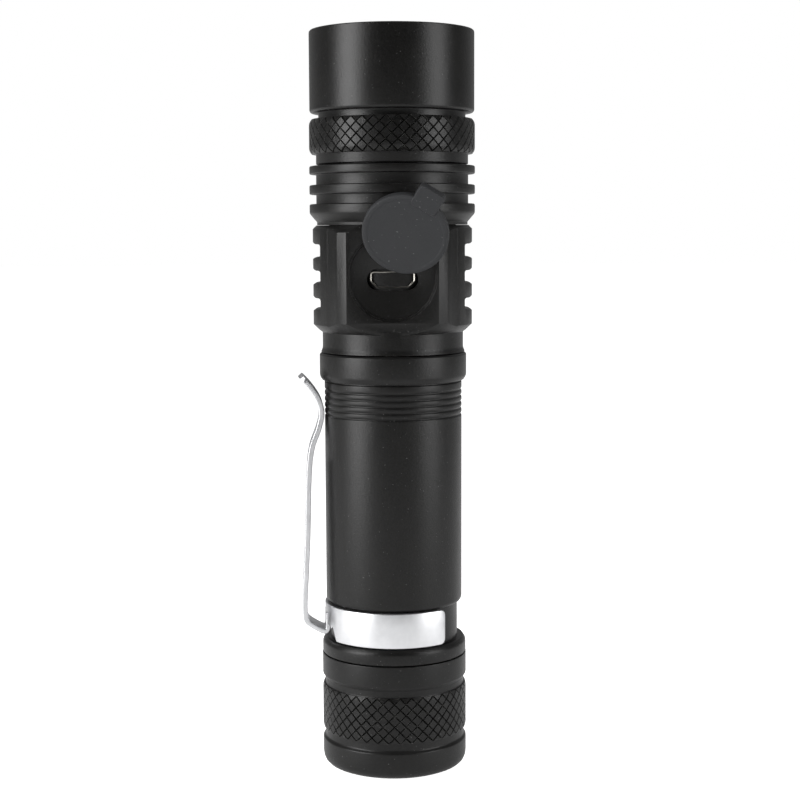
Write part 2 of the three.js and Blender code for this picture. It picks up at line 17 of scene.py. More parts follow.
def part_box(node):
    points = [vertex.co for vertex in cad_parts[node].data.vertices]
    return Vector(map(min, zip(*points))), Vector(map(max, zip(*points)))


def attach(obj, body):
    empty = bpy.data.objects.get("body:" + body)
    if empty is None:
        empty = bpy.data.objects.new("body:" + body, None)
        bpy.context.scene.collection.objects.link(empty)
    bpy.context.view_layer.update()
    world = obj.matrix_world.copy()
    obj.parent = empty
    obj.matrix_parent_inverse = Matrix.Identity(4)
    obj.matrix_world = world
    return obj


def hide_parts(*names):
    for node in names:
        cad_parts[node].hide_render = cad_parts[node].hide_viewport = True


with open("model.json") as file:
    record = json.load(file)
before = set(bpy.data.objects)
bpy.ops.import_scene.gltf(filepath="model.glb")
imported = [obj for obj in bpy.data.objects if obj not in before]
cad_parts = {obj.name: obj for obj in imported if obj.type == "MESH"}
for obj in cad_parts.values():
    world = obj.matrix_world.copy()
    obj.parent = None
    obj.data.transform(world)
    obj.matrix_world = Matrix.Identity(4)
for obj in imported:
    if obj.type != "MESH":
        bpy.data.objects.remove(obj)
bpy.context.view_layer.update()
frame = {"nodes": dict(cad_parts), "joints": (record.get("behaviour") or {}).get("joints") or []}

# %% [markdown]
# ## Working in millimetres
# The frame is in metres, but a flashlight is drawn in millimetres. Every shape below is built in
# millimetres and is scaled once, in `finished`, when it becomes a piece. `span` reads where a CAD solid
# lies, so that the main heights and radii come from the frame and not from a second copy of them.

# %% Units and places
MM = 0.001


def span(node):
    """Low and high corner of a CAD solid, in millimetres."""
    low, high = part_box(node)
    return low / MM, high / MM


def heights(node):
    low, high = span(node)
    return low.z, high.z


def radius_of(node):
    """Radius of a solid that is round about the barrel's axis."""
    return span(node)[1].x


JOINTS = {joint["name"]: joint for joint in frame["joints"]}
print("joints:", sorted(JOINTS))

# %% [markdown]
# ## Camera
# A long lens stands a little above the middle of the light and looks slightly down on it. The frame's
# small shift keeps the light upright and in view without a steeper tilt.

# %% Camera
EYE_DISTANCE = 0.2864
EYE_HEIGHT = 0.0937
EYE_TILT = math.radians(6.73)
EYE_ROLL = math.radians(-0.27)

camera_data = bpy.data.cameras.new("studio_camera")
camera_data.sensor_width = 36.0
camera_data.lens = 74.7
camera_data.shift_x = 0.0084
camera_data.shift_y = 0.030
camera_data.clip_start = 0.01
camera = bpy.data.objects.new("studio_camera", camera_data)
camera.location = (0.0, -EYE_DISTANCE, EYE_HEIGHT)
look = Matrix.Rotation(math.radians(90) - EYE_TILT, 4, "X") @ Matrix.Rotation(EYE_ROLL, 4, "Z")
camera.rotation_euler = look.to_euler()
bpy.context.scene.collection.objects.link(camera)
bpy.context.scene.camera = camera
print("camera looks down by", round(math.degrees(EYE_TILT), 2), "degrees")

# %% [markdown]
# ## Shader helpers
# A material is a small sum: grain plus wear, times a strength. `Value` wraps a socket so that the sum
# can be written as one, and each operator adds the Math node it stands for. Colours go through the Mix
# node, because a Math node would turn them grey. Every other node comes from `Finish.node`.

# %% Socket arithmetic


class Value:
    def __init__(self, finish, socket):
        self.finish = finish
        self.socket = socket

    def math(self, operation, first, second):
        settings = {"operation": operation, "use_clamp": False}
        return self.finish.node("ShaderNodeMath", settings, {0: first, 1: second})

    def __add__(self, other):
        return self.math("ADD", self, other)

    __radd__ = __add__

    def __sub__(self, other):
        return self.math("SUBTRACT", self, other)

    def __rsub__(self, other):
        return self.math("SUBTRACT", other, self)

    def __mul__(self, other):
        return self.math("MULTIPLY", self, other)

    __rmul__ = __mul__

    def clamped(self):
        return self.finish.node("ShaderNodeClamp", {}, {"Value": self})


class Finish:
    """One material, built node by node on a Principled shader."""

    def __init__(self, name, **constants):
        self.material = bpy.data.materials.new(name)
        self.material.use_nodes = True
        self.tree = self.material.node_tree
        self.tree.nodes.clear()
        self.shader = self.tree.nodes.new("ShaderNodeBsdfPrincipled")
        output = self.tree.nodes.new("ShaderNodeOutputMaterial")
        self.tree.links.new(self.shader.outputs["BSDF"], output.inputs["Surface"])
        self.place = self.node("ShaderNodeTexCoord", output="Object")
        self.set(**constants)

    def node(self, kind, settings=None, sockets=None, output=0):
        node = self.tree.nodes.new(kind)
        for key, value in (settings or {}).items():
            if key == "stops":
                self.set_stops(node.color_ramp, value)
            else:
                setattr(node, key, value)
        for key, value in (sockets or {}).items():
            self.feed(node.inputs[key], value)
        return Value(self, node.outputs[output])

    @staticmethod
    def set_stops(ramp, stops):
        for element, (position, shade) in zip(ramp.elements, stops):
            element.position = position
            element.color = (shade, shade, shade, 1.0)

    def feed(self, socket, value):
        if isinstance(value, Value):
            self.tree.links.new(value.socket, socket)
        elif isinstance(value, tuple) and len(value) == 3 and socket.type == "RGBA":
            socket.default_value = (*value, 1.0)
        else:
            socket.default_value = value

    def set(self, **values):
        """Sets the shader's sockets: Base_Color=... stands for the socket called Base Color."""
        for key, value in values.items():
            self.feed(self.shader.inputs[key.replace("_", " ")], value)

    def noise(self, size, detail=2.0, vector=None, rough=0.55):
        """Noise whose blobs are about `size` millimetres across."""
        sockets = {"Vector": vector or self.place, "Scale": 1 / (size * MM), "Detail": detail,
                   "Roughness": rough}
        return self.node("ShaderNodeTexNoise", {"noise_dimensions": "3D"}, sockets, "Fac")

    def stretched(self, x, y, z):
        """Object coordinates scaled by x, y and z, for brushed or drawn grain."""
        return self.node("ShaderNodeMapping", {}, {"Vector": self.place, "Scale": (x, y, z)})

    def ramp(self, value, low, high):
        """0 below `low`, 1 above `high`, a straight slope between."""
        return self.node("ShaderNodeMapRange", {"clamp": True},
                         {"Value": value, "From Min": low, "From Max": high})

    def mixed(self, share, first, second):
        return self.node("ShaderNodeMix", {"data_type": "RGBA", "blend_type": "MIX"},
                         {0: share, 6: first, 7: second}, 2)

    def edges(self, reach):
        """1 on sharp edges, fading to 0 at `reach` millimetres from them."""
        soft = self.node("ShaderNodeBevel", {"samples": 4}, {"Radius": reach * MM})
        true = self.node("ShaderNodeNewGeometry", {}, {}, "Normal")
        same = self.node("ShaderNodeVectorMath", {"operation": "DOT_PRODUCT"}, {0: soft, 1: true}, "Value")
        return self.ramp(1 - same, 0.02, 0.22)

    def bumped(self, height, strength, depth):
        """Feeds the normal with a height map whose full swing is `depth` millimetres."""
        self.set(Normal=self.node("ShaderNodeBump", {},
                                  {"Strength": strength, "Distance": depth * MM, "Height": height}))


def grey(value):
    return (value, value, value)


print("shader helpers ready")

# %% [markdown]
# ## Black anodised aluminium
# The housing is blasted with fine beads, then anodised black. Blasting leaves a grain of about a fifth
# of a millimetre that blurs reflections, and the dye is never quite even. The sharp edges are painted
# lighter in specks: partly corners rubbed bright by handling, partly a painted highlight where the edges
# catch the light. Dust sits in the pores as pale specks. All of that follows object coordinates, so it
# stays on the metal when a part turns or slides.

# %% Anodised finishes


def anodised(name, roughness, depth):
    finish = Finish(name, Metallic=0.0, IOR=1.34)
    blast = finish.noise(0.34, 3.0, rough=0.75)
    clouds = finish.noise(6.0, 3.0)
    dust = finish.ramp(finish.noise(0.32, 1.0), 0.735, 0.79)
    # Edge mask: partly rubbed wear, partly a painted highlight on edges that catch the light.
    edge_wear_and_highlight = finish.edges(0.16) * finish.ramp(finish.noise(1.1, 3.0), 0.5, 0.72)
    dye = finish.mixed(clouds, grey(0.0018), (0.0054, 0.0051, 0.0045))
    dye = finish.mixed(finish.ramp(blast, 0.35, 0.75) * 0.4, dye, grey(0.012))
    dye = finish.mixed(dust * 0.35, dye, grey(0.20))
    # The edges get a lighter grey here: wear plus painted highlight.
    dye = finish.mixed(edge_wear_and_highlight * 0.5, dye, (0.17, 0.168, 0.16))
    finish.set(Base_Color=dye, Roughness=(roughness + 0.10 * (blast - 0.5) + 0.08 * (clouds - 0.5)).clamped())
    finish.bumped(blast, 0.9, depth)
    return finish.material


BODY_FINISH = anodised("anodised_tube", 0.36, 0.034)
HEAD_FINISH = anodised("anodised_head", 0.32, 0.030)
KNURL_FINISH = anodised("anodised_grip", 0.38, 0.026)
print("anodised:", [finish.name for finish in (BODY_FINISH, HEAD_FINISH, KNURL_FINISH)])

# %% [markdown]
# ## Rubber, steel and the small finishes
# Moulded silicone is matt, slightly blue against the black metal, and picks up lint. The clip is rolled
# stainless strip: the rollers leave fine lines along it, and the lines stretch the reflections across.
# The inner parts hardly show, but each still gets the finish of its real material.

# %% Rubber


def rubber(name, colour, lint):
    finish = Finish(name, Metallic=0.0, IOR=1.42)
    skin = finish.noise(0.22, 4.0, rough=0.65)
    tone = finish.noise(3.5, 2.0)
    specks = finish.ramp(finish.noise(0.4, 1.0), 0.74, 0.78)
    paler = tuple(1.25 * part for part in colour)
    body = finish.mixed(tone, colour, paler)
    finish.set(Base_Color=finish.mixed(specks * lint, body, grey(0.25)), Roughness=0.62 + 0.2 * skin)
    finish.bumped(skin, 0.5, 0.012)
    return finish.material


COVER_RUBBER = rubber("cover_rubber", (0.0140, 0.0146, 0.0160), 0.35)
SEAL_RUBBER = rubber("seal_rubber", (0.012, 0.012, 0.012), 0.1)
BOOT_RUBBER = rubber("boot_rubber", (0.016, 0.016, 0.0165), 0.2)

# %% Metals


def drawn_metal(name, colour, roughness, along, depth=0.004):
    """Rolled or drawn metal: `along` squeezes the grain on the axis that the lines follow."""
    finish = Finish(name, Metallic=1.0)
    lines = finish.noise(0.25, 4.0, finish.stretched(*along), rough=0.7)
    tarnish = finish.noise(4.0, 3.0)
    duller = tuple(0.78 * part for part in colour)
    finish.set(Base_Color=finish.mixed(finish.ramp(tarnish, 0.3, 0.8), colour, duller),
               Roughness=(roughness + 0.16 * (lines - 0.5) + 0.10 * (tarnish - 0.5)).clamped())
    finish.bumped(lines, 0.35, depth)
    return finish.material


CLIP_STEEL = drawn_metal("clip_steel", (0.74, 0.745, 0.76), 0.36, (1.0, 1.0, 0.06))
# The socket's steel is painted much darker than bare steel: painted shade standing in for the cover's shadow
# over the socket.
SOCKET_STEEL_PAINTED_SHADE = drawn_metal("socket_steel", (0.24, 0.23, 0.21), 0.34, (0.2, 1.0, 1.0))
SPRING_STEEL = drawn_metal("spring_steel", (0.66, 0.66, 0.65), 0.28, (1.0, 1.0, 0.3))
BRASS = drawn_metal("turned_brass", (0.72, 0.52, 0.20), 0.27, (0.2, 0.2, 1.0))
GOLD = drawn_metal("contact_gold", (0.90, 0.66, 0.28), 0.22, (1.0, 0.2, 1.0))
ALUMINIUM = drawn_metal("bare_aluminium", (0.72, 0.73, 0.75), 0.33, (0.2, 0.2, 1.0))

# %% Plastics, boards and glass


def moulded(name, colour, roughness, clearer=1.15):
    finish = Finish(name, Metallic=0.0, IOR=1.48)
    skin = finish.noise(0.12, 2.0)
    flow = finish.noise(2.5, 2.0)
    paler = tuple(clearer * part for part in colour)
    finish.set(Base_Color=finish.mixed(flow, colour, paler), Roughness=roughness + 0.12 * (skin - 0.5))
    finish.bumped(skin, 0.3, 0.006)
    return finish.material


def circuit_board(name, mask, copper):
    """Solder mask with the copper tracks under it faintly raised."""
    finish = Finish(name, Metallic=0.0, IOR=1.5)
    cells = finish.node("ShaderNodeTexVoronoi", {"feature": "DISTANCE_TO_EDGE", "distance": "CHEBYCHEV"},
                        {"Vector": finish.place, "Scale": 1 / (1.6 * MM), "Randomness": 0.6}, "Distance")
    tracks = finish.ramp(cells, 0.10, 0.14)
    finish.set(Base_Color=finish.mixed(tracks, copper, mask), Roughness=0.42 - 0.1 * tracks)
    finish.bumped(1 - tracks, 0.5, 0.02)
    return finish.material


def shrink_wrap(name):
    """The cell's sleeve: glossy film with faint ripples round it."""
    finish = Finish(name, Metallic=0.0, IOR=1.5, Coat_Roughness=0.1)
    ripple = finish.noise(1.2, 2.0, finish.stretched(0.3, 0.3, 2.0))
    finish.set(Base_Color=finish.mixed(ripple, (0.03, 0.12, 0.33), (0.05, 0.17, 0.42)),
               Roughness=0.26 + 0.14 * ripple, Coat_Weight=0.3 + 0.2 * ripple)
    finish.bumped(ripple, 0.3, 0.02)
    return finish.material


def optical(name):
    """A moulded acrylic lens: clear, with a few faint dust specks on it."""
    finish = Finish(name, Metallic=0.0, IOR=1.49, Transmission_Weight=1.0)
    dust = finish.ramp(finish.noise(0.35, 1.0), 0.74, 0.80)
    finish.set(Base_Color=finish.mixed(dust * 0.3, (0.97, 0.985, 0.99), grey(0.75)),
               Roughness=0.015 + 0.25 * dust)
    finish.bumped(finish.noise(5.0, 1.0), 0.05, 0.004)
    return finish.material


def phosphor(name):
    finish = Finish(name, Metallic=0.0, IOR=1.45, Coat_Roughness=0.05)
    crystal = finish.noise(0.12, 3.0)
    finish.set(Base_Color=finish.mixed(crystal, (0.80, 0.62, 0.08), (0.90, 0.74, 0.16)),
               Roughness=0.35 + 0.2 * crystal, Coat_Weight=0.4 + 0.1 * crystal)
    finish.bumped(crystal, 0.3, 0.01)
    return finish.material


BLACK_PLASTIC = moulded("black_plastic", grey(0.014), 0.42)
RED_PLASTIC = moulded("red_insulation", (0.42, 0.02, 0.02), 0.38)
WHITE_CERAMIC = moulded("white_ceramic", (0.72, 0.72, 0.69), 0.45, 1.05)
PAPER = moulded("insulating_paper", (0.62, 0.58, 0.48), 0.8)
GREEN_BOARD = circuit_board("green_board", (0.012, 0.095, 0.035), (0.06, 0.20, 0.08))
WHITE_BOARD = circuit_board("white_board", (0.72, 0.72, 0.68), (0.60, 0.58, 0.50))
CELL_WRAP = shrink_wrap("cell_wrap")
LENS_CLEAR = optical("lens_clear")
PHOSPHOR = phosphor("phosphor")
print("finishes:", len(bpy.data.materials))

# %% [markdown]
# ## Shape helpers
# Nearly every piece is turned, so the first helper spins an outline about the barrel's axis. A lathe
# never leaves a perfectly sharp corner, and a small radius is what catches the light, so `softened`
# rounds each corner of the outline first. The second helper lofts a skin over a row of rings, which
# makes the bent clip, the socket shell and the tabs.

# %% Outlines


def softened(outline, fillet=0.12, steps=3, closed=True):
    """Rounds each corner of an outline. A point may carry a fillet of its own as a third number."""
    rounded = []
    count = len(outline)
    for i, point in enumerate(outline):
        here = Vector(point[:2])
        if not closed and i in (0, count - 1):
            rounded.append(here)
            continue
        before = Vector(outline[i - 1][:2])
        after = Vector(outline[(i + 1) % count][:2])
        radius = point[2] if len(point) > 2 else fillet
        reach = min(radius, 0.45 * (before - here).length, 0.45 * (after - here).length)
        start = here + (before - here).normalized() * reach
        end = here + (after - here).normalized() * reach
        if reach < 1e-4 or (here - start).angle(end - here) < math.radians(4):
            rounded.append(here)
            continue
        for step in range(steps + 1):
            t = step / steps
            rounded.append(start * (1 - t) ** 2 + here * 2 * t * (1 - t) + end * t ** 2)
    return rounded


def on_circle(radius, angle, height):
    """Angle 0 faces the port, and the angle grows towards +X."""
    return Vector((radius * math.sin(angle), -radius * math.cos(angle), height))


def turned(outline, sides=160, closed=True):
    """A mesh spun from an outline of (radius, height). Points on the axis become one pole."""
    mesh = bmesh.new()
    rings = []
    for radius, height in outline:
        if radius < 1e-6:
            rings.append([mesh.verts.new((0.0, 0.0, height))] * sides)
        else:
            rings.append([mesh.verts.new(on_circle(radius, 2 * math.pi * i / sides, height))
                          for i in range(sides)])
    pairs = list(zip(rings, rings[1:]))
    if closed and outline[0][0] > 1e-6:
        pairs.append((rings[-1], rings[0]))
    for low, high in pairs:
        for i in range(sides):
            j = (i + 1) % sides
            corners = []
            for vert in (low[i], low[j], high[j], high[i]):
                if vert not in corners:
                    corners.append(vert)
            if len(corners) > 2:
                mesh.faces.new(corners)
    return mesh


def lofted(rings):
    """A skin over rings with the same number of points, with a cap at each end."""
    mesh = bmesh.new()
    rows = [[mesh.verts.new(point) for point in ring] for ring in rings]
    for low, high in zip(rows, rows[1:]):
        for i in range(len(low)):
            j = (i + 1) % len(low)
            mesh.faces.new((low[i], low[j], high[j], high[i]))
    mesh.faces.new(rows[0])
    mesh.faces.new(rows[-1])
    return mesh


def prism(outline, low, high, edge=0.0):
    """An outline in X and Y between two heights. `edge` insets both ends for a small chamfer."""
    centre = sum((Vector(p) for p in outline), Vector((0.0, 0.0))) / len(outline)
    inset = [centre + (Vector(p) - centre) * (1 - edge / max((Vector(p) - centre).length, edge + 1e-6))
             for p in outline]
    levels = [(outline, low), (outline, high)]
    if edge:
        levels = [(inset, low), (outline, low + edge), (outline, high - edge), (inset, high)]
    return lofted([[Vector((p[0], p[1], height)) for p in shape] for shape, height in levels])


def block(low, high, fillet=0.15, edge=0.0):
    """A box between two corners, with its upright edges rounded."""
    outline = [(low[0], low[1]), (high[0], low[1]), (high[0], high[1]), (low[0], high[1])]
    return prism(softened(outline, fillet), low[2], high[2], edge)


print("outline of a square with soft corners:", len(softened([(0, 0), (1, 0), (1, 1), (0, 1)])), "points")

# %% [markdown]
# ## From a mesh to a piece
# `solid` outputs a closed mesh as an object, `cut` and `joined` run Blender's exact boolean on such
# objects, and `finished` turns the result into a piece: it merges doubles, turns the faces outward,
# scales to metres, shades it, parents it to the empty of the body it rides on and hides the CAD solids
# it stands for.

# %% Pieces


def solid(mesh, name="work"):
    bmesh.ops.remove_doubles(mesh, verts=mesh.verts, dist=1e-4)
    bmesh.ops.recalc_face_normals(mesh, faces=mesh.faces)
    data = bpy.data.meshes.new(name)
    mesh.to_mesh(data)
    mesh.free()
    thing = bpy.data.objects.new(name, data)
    bpy.context.scene.collection.objects.link(thing)
    return thing


def baked(thing):
    """The object's mesh with its modifiers worked in, and the modifiers gone."""
    bpy.context.view_layer.update()
    seen = thing.evaluated_get(bpy.context.evaluated_depsgraph_get())
    thing.data = bpy.data.meshes.new_from_object(seen)
    thing.modifiers.clear()
    return thing


def boolean(base, others, operation):
    for other in others:
        step = base.modifiers.new("boolean", "BOOLEAN")
        step.operation = operation
        step.solver = "EXACT"
        step.object = other
    baked(base)
    for other in others:
        bpy.data.objects.remove(other)
    return base


def cut(base, *tools):
    return boolean(base, tools, "DIFFERENCE")


def joined(base, *others):
    return boolean(base, others, "UNION")


def bevelled(thing, width, angle=30, segments=2):
    step = thing.modifiers.new("bevel", "BEVEL")
    step.width = width
    step.segments = segments
    step.limit_method = "ANGLE"
    step.angle_limit = math.radians(angle)
    step.miter_outer = "MITER_ARC"
    return baked(thing)


MERGE_DISTANCE = 5e-4    # corners closer than this are one corner
SLIVER_LENGTH = 1e-4     # an edge shorter than this is dissolved
LARGEST_HOLE = 12        # sides of the largest hole that is filled


def tidy_mesh(data):
    """Merges doubles, drops slivers and turns the faces outward. Returns how many edges are open,
    counting every edge that doesn't join exactly two faces."""
    mesh = bmesh.new()
    mesh.from_mesh(data)
    bmesh.ops.remove_doubles(mesh, verts=mesh.verts, dist=MERGE_DISTANCE)
    bmesh.ops.dissolve_degenerate(mesh, dist=SLIVER_LENGTH, edges=mesh.edges)
    rims = [edge for edge in mesh.edges if len(edge.link_faces) == 1]
    bmesh.ops.holes_fill(mesh, edges=rims, sides=LARGEST_HOLE)
    loose = [vert for vert in mesh.verts if not vert.link_faces]
    bmesh.ops.delete(mesh, geom=loose, context="VERTS")
    bmesh.ops.recalc_face_normals(mesh, faces=mesh.faces)
    gaps = sum(1 for edge in mesh.edges if len(edge.link_faces) != 2)
    mesh.to_mesh(data)
    mesh.free()
    return gaps


def finished(thing, name, finish, body, replaces=(), crease=32):
    gaps = tidy_mesh(thing.data)
    thing.data.transform(Matrix.Scale(MM, 4))
    thing.name = name
    thing.data.name = name
    thing.data.materials.clear()
    thing.data.materials.append(finish)
    for face in thing.data.polygons:
        face.use_smooth = True
    thing.data.set_sharp_from_angle(angle=math.radians(crease))
    thing.data.calc_loop_triangles()
    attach(thing, body)
    if replaces:
        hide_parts(*replaces)
    print(f"{name}: {len(thing.data.loop_triangles)} triangles, {gaps} open edges")
    return thing


# %% [markdown]
# ## Rolled diamond knurl
# A knurl is pressed by two wheels with slanted teeth, so its grooves run up the ring both ways and leave
# a lattice of flat-topped diamonds. A bump map would leave the outline smooth, so it is real geometry:
# Geometry Nodes puts one four-sided frustum on each point of a flat lattice, flattens the part past the
# band's edges, and wraps the sheet round the axis. The sheet's borders meet the turned body vertex to
# vertex, because the body is spun with four sides for each diamond.

# %% Knurl tree


def add_inputs(tree, rows):
    """Named inputs of a node tree: (name, socket type, default)."""
    tree.interface.new_socket("Geometry", in_out="INPUT", socket_type="NodeSocketGeometry")
    tree.interface.new_socket("Geometry", in_out="OUTPUT", socket_type="NodeSocketGeometry")
    for name, kind, default in rows:
        socket = tree.interface.new_socket(name, in_out="INPUT", socket_type=kind)
        if default is not None:
            socket.default_value = default


class Nodes:
    """Adds and links the nodes of a geometry tree; sums are written with `math`."""

    def __init__(self, name, inputs):
        self.tree = bpy.data.node_groups.new(name, "GeometryNodeTree")
        add_inputs(self.tree, inputs)
        self.given = self.tree.nodes.new("NodeGroupInput").outputs
        self.result = self.tree.nodes.new("NodeGroupOutput").inputs["Geometry"]

    def add(self, kind, settings=None, sockets=None, output=0):
        node = self.tree.nodes.new(kind)
        for key, value in (settings or {}).items():
            setattr(node, key, value)
        for key, value in (sockets or {}).items():
            if isinstance(value, bpy.types.NodeSocket):
                self.tree.links.new(value, node.inputs[key])
            else:
                node.inputs[key].default_value = value
        return node.outputs[output]

    def math(self, operation, first, second=0.0, third=0.0):
        return self.add("ShaderNodeMath", {"operation": operation}, {0: first, 1: second, 2: third})

    def vector(self, x, y, z):
        return self.add("ShaderNodeCombineXYZ", {}, {0: x, 1: y, 2: z})

    def position(self):
        parts = self.tree.nodes.new("ShaderNodeSeparateXYZ")
        self.tree.links.new(self.add("GeometryNodeInputPosition"), parts.inputs[0])
        return parts.outputs

    def moved(self, geometry, place):
        return self.add("GeometryNodeSetPosition", {}, {"Geometry": geometry, "Position": place})

    def finish(self, geometry, material):
        whole = self.add("GeometryNodeRealizeInstances", {}, {"Geometry": geometry})
        painted = self.add("GeometryNodeSetMaterial", {}, {"Geometry": whole, "Material": material})
        self.tree.links.new(painted, self.result)
        return self.tree


def knurl_tree():
    nodes = Nodes("diamond_knurl", [
        ("Around", "NodeSocketInt", 42), ("Half Rows", "NodeSocketInt", 6),
        ("Floor Radius", "NodeSocketFloat", 13.8), ("Depth", "NodeSocketFloat", 0.25),
        ("Low", "NodeSocketFloat", 0.0), ("Height", "NodeSocketFloat", 6.0),
        ("Flat Share", "NodeSocketFloat", 0.7), ("Edge Reach", "NodeSocketFloat", 0.9),
        ("Edge Drop", "NodeSocketFloat", 0.3), ("Finish", "NodeSocketMaterial", None),
    ])
    given = nodes.given
    frustum = nodes.tree.nodes.new("GeometryNodeMeshCone")
    frustum.inputs["Vertices"].default_value = 4
    frustum.inputs["Radius Bottom"].default_value = 0.5
    frustum.inputs["Depth"].default_value = 1.0
    nodes.tree.links.new(nodes.math("MULTIPLY", given["Flat Share"], 0.5), frustum.inputs["Radius Top"])
    open_stud = nodes.add("GeometryNodeDeleteGeometry", {"domain": "FACE"},
                          {"Geometry": frustum.outputs["Mesh"], "Selection": frustum.outputs["Bottom"]})
    stud = nodes.add("GeometryNodeSubdivideMesh", {}, {"Mesh": open_stud, "Level": 1})
    rows = nodes.math("ADD", given["Half Rows"], 1.0)
    lattice = nodes.add("GeometryNodeMeshGrid", {}, {
        "Size X": 1.0, "Size Y": 1.0, "Vertices X": given["Around"], "Vertices Y": rows})
    step_x = nodes.math("DIVIDE", 1.0, given["Around"])
    step_y = nodes.math("DIVIDE", given["Height"], given["Half Rows"])
    x, y, _ = nodes.position()
    column = nodes.math("ROUND", nodes.math("MULTIPLY", nodes.math("ADD", x, 0.5),
                                            nodes.math("SUBTRACT", given["Around"], 1.0)))
    row = nodes.math("ROUND", nodes.math("MULTIPLY", nodes.math("ADD", y, 0.5), given["Half Rows"]))
    odd = nodes.math("MULTIPLY", nodes.math("MODULO", row, 2.0), 0.5)
    lattice = nodes.moved(lattice, nodes.vector(
        nodes.math("MULTIPLY", nodes.math("ADD", column, odd), step_x),
        nodes.math("MULTIPLY", row, step_y), 0.0))
    size = nodes.vector(step_x, nodes.math("MULTIPLY", step_y, 2.0), given["Depth"])
    studs = nodes.add("GeometryNodeInstanceOnPoints", {},
                      {"Points": lattice, "Instance": stud, "Scale": size})
    sheet = nodes.add("GeometryNodeRealizeInstances", {}, {"Geometry": studs})
    x, y, z = nodes.position()
    held = nodes.math("MINIMUM", nodes.math("MAXIMUM", y, 0.0), given["Height"])
    sheet = nodes.moved(sheet, nodes.vector(x, held, z))
    x, y, z = nodes.position()
    to_edge = nodes.math("MINIMUM", y, nodes.math("SUBTRACT", given["Height"], y))
    past = nodes.math("SUBTRACT", 1.0, nodes.math("DIVIDE", to_edge, given["Edge Reach"]))
    drop = nodes.math("MULTIPLY", nodes.math("POWER", nodes.math("MAXIMUM", past, 0.0), 2.0),
                      given["Edge Drop"])
    radius = nodes.math("SUBTRACT", nodes.math("ADD", given["Floor Radius"], z), drop)
    turn = nodes.math("MULTIPLY", x, 2 * math.pi)
    wrapped = nodes.moved(sheet, nodes.vector(
        nodes.math("MULTIPLY", radius, nodes.math("SINE", turn)),
        nodes.math("MULTIPLY", nodes.math("MULTIPLY", radius, nodes.math("COSINE", turn)), -1.0),
        nodes.math("ADD", y, given["Low"])))
    welded = nodes.add("GeometryNodeMergeByDistance", {}, {"Geometry": wrapped, "Distance": 0.002})
    return nodes.finish(welded, given["Finish"])


def run_tree(tree, **inputs):
    """Runs a geometry tree on an empty mesh, with its inputs set by their identifiers."""
    host = bpy.data.objects.new("host", bpy.data.meshes.new("host"))
    bpy.context.scene.collection.objects.link(host)
    step = host.modifiers.new("nodes", "NODES")
    step.node_group = tree
    for item in tree.interface.items_tree:
        key = item.name.replace(" ", "_").lower()
        if item.in_out == "INPUT" and key in inputs:
            step[item.identifier] = inputs[key]
    return baked(host)


KNURL = knurl_tree()
KNURL_DEPTH = 0.2


def with_knurl(outline, low, high, radius, around, half_rows, edge_reach, edge_drop, flat=0.8):
    """Spins an open outline and closes it with a knurled band between two heights."""
    shell = turned(outline, sides=4 * around, closed=False)
    band = run_tree(KNURL, around=around, half_rows=half_rows, floor_radius=radius - KNURL_DEPTH,
                    depth=KNURL_DEPTH, low=low, height=high - low, flat_share=flat,
                    edge_reach=edge_reach, edge_drop=edge_drop, finish=KNURL_FINISH)
    print("knurl:", around, "diamonds round,", len(band.data.polygons), "faces")
    shell.from_mesh(band.data)
    bpy.data.objects.remove(band)
    bmesh.ops.remove_doubles(shell, verts=shell.verts, dist=2e-3)
    return solid(shell)


# %% [markdown]
# ## Head
# The head is one turned cup: a knurled grip ring, a groove, and the smooth barrel that holds the lens.
# Its outline is drawn as the lathe would cut it, from the top of the knurl up, over the rim, down the
# bore and out under the skirt. The inner steps carry the lens and ride on the slide tube.

# %% Head barrel
HEAD_LOW, HEAD_TOP = heights("head_barrel")
HEAD_KNURL_R = radius_of("head_barrel")
HEAD_R = HEAD_KNURL_R - 0.1
SKIRT_R = HEAD_KNURL_R - 1.15
GRIP_LOW = HEAD_LOW + 1.7
GRIP_TOP = GRIP_LOW + 5.8
BARREL_LOW = GRIP_TOP + 1.1
LENS_LOW, LENS_TOP = heights("lens")
LENS_R = radius_of("lens")
BORE_R = LENS_R + 0.25
SLIDE_R = 11.35
GRIP_DROP = 0.42
GRIP_EDGE_R = HEAD_KNURL_R - KNURL_DEPTH - GRIP_DROP

head_outline = softened([
    (GRIP_EDGE_R, GRIP_TOP),
    (12.5, GRIP_TOP + 0.02),
    (12.5, BARREL_LOW),
    (HEAD_R - 0.25, BARREL_LOW, 0.2),
    (HEAD_R, BARREL_LOW + 0.35, 0.3),
    (HEAD_R, HEAD_TOP, 0.42),
    (12.75, HEAD_TOP, 0.3),
    (12.6, HEAD_TOP - 0.6),
    (12.6, 121.4),
    (BORE_R, 121.4),
    (BORE_R, LENS_LOW - 0.15),
    (10.7, LENS_LOW - 0.15),
    (10.7, LENS_LOW - 1.2),
    (BORE_R, LENS_LOW - 1.2),
    (BORE_R, HEAD_LOW + 0.7),
    (SLIDE_R, HEAD_LOW + 0.7),
    (SLIDE_R, HEAD_LOW),
    (SKIRT_R, HEAD_LOW),
    (SKIRT_R, GRIP_LOW - 0.02),
    (GRIP_EDGE_R, GRIP_LOW),
], fillet=0.1, closed=False)
head = with_knurl(head_outline, GRIP_LOW, GRIP_TOP, HEAD_KNURL_R, 44, 6, 0.95, GRIP_DROP)
finished(head, "head_shell", HEAD_FINISH, "head", ["head_barrel"])

# %% [markdown]
# ## Lens and bezel
# The lens is a thick plano-convex casting: a flat back, a short rim and a domed front. The dome is an
# ellipse, spun with enough steps that its highlight stays round. The bezel screws down on it and leaves
# a dark cone round the glass.

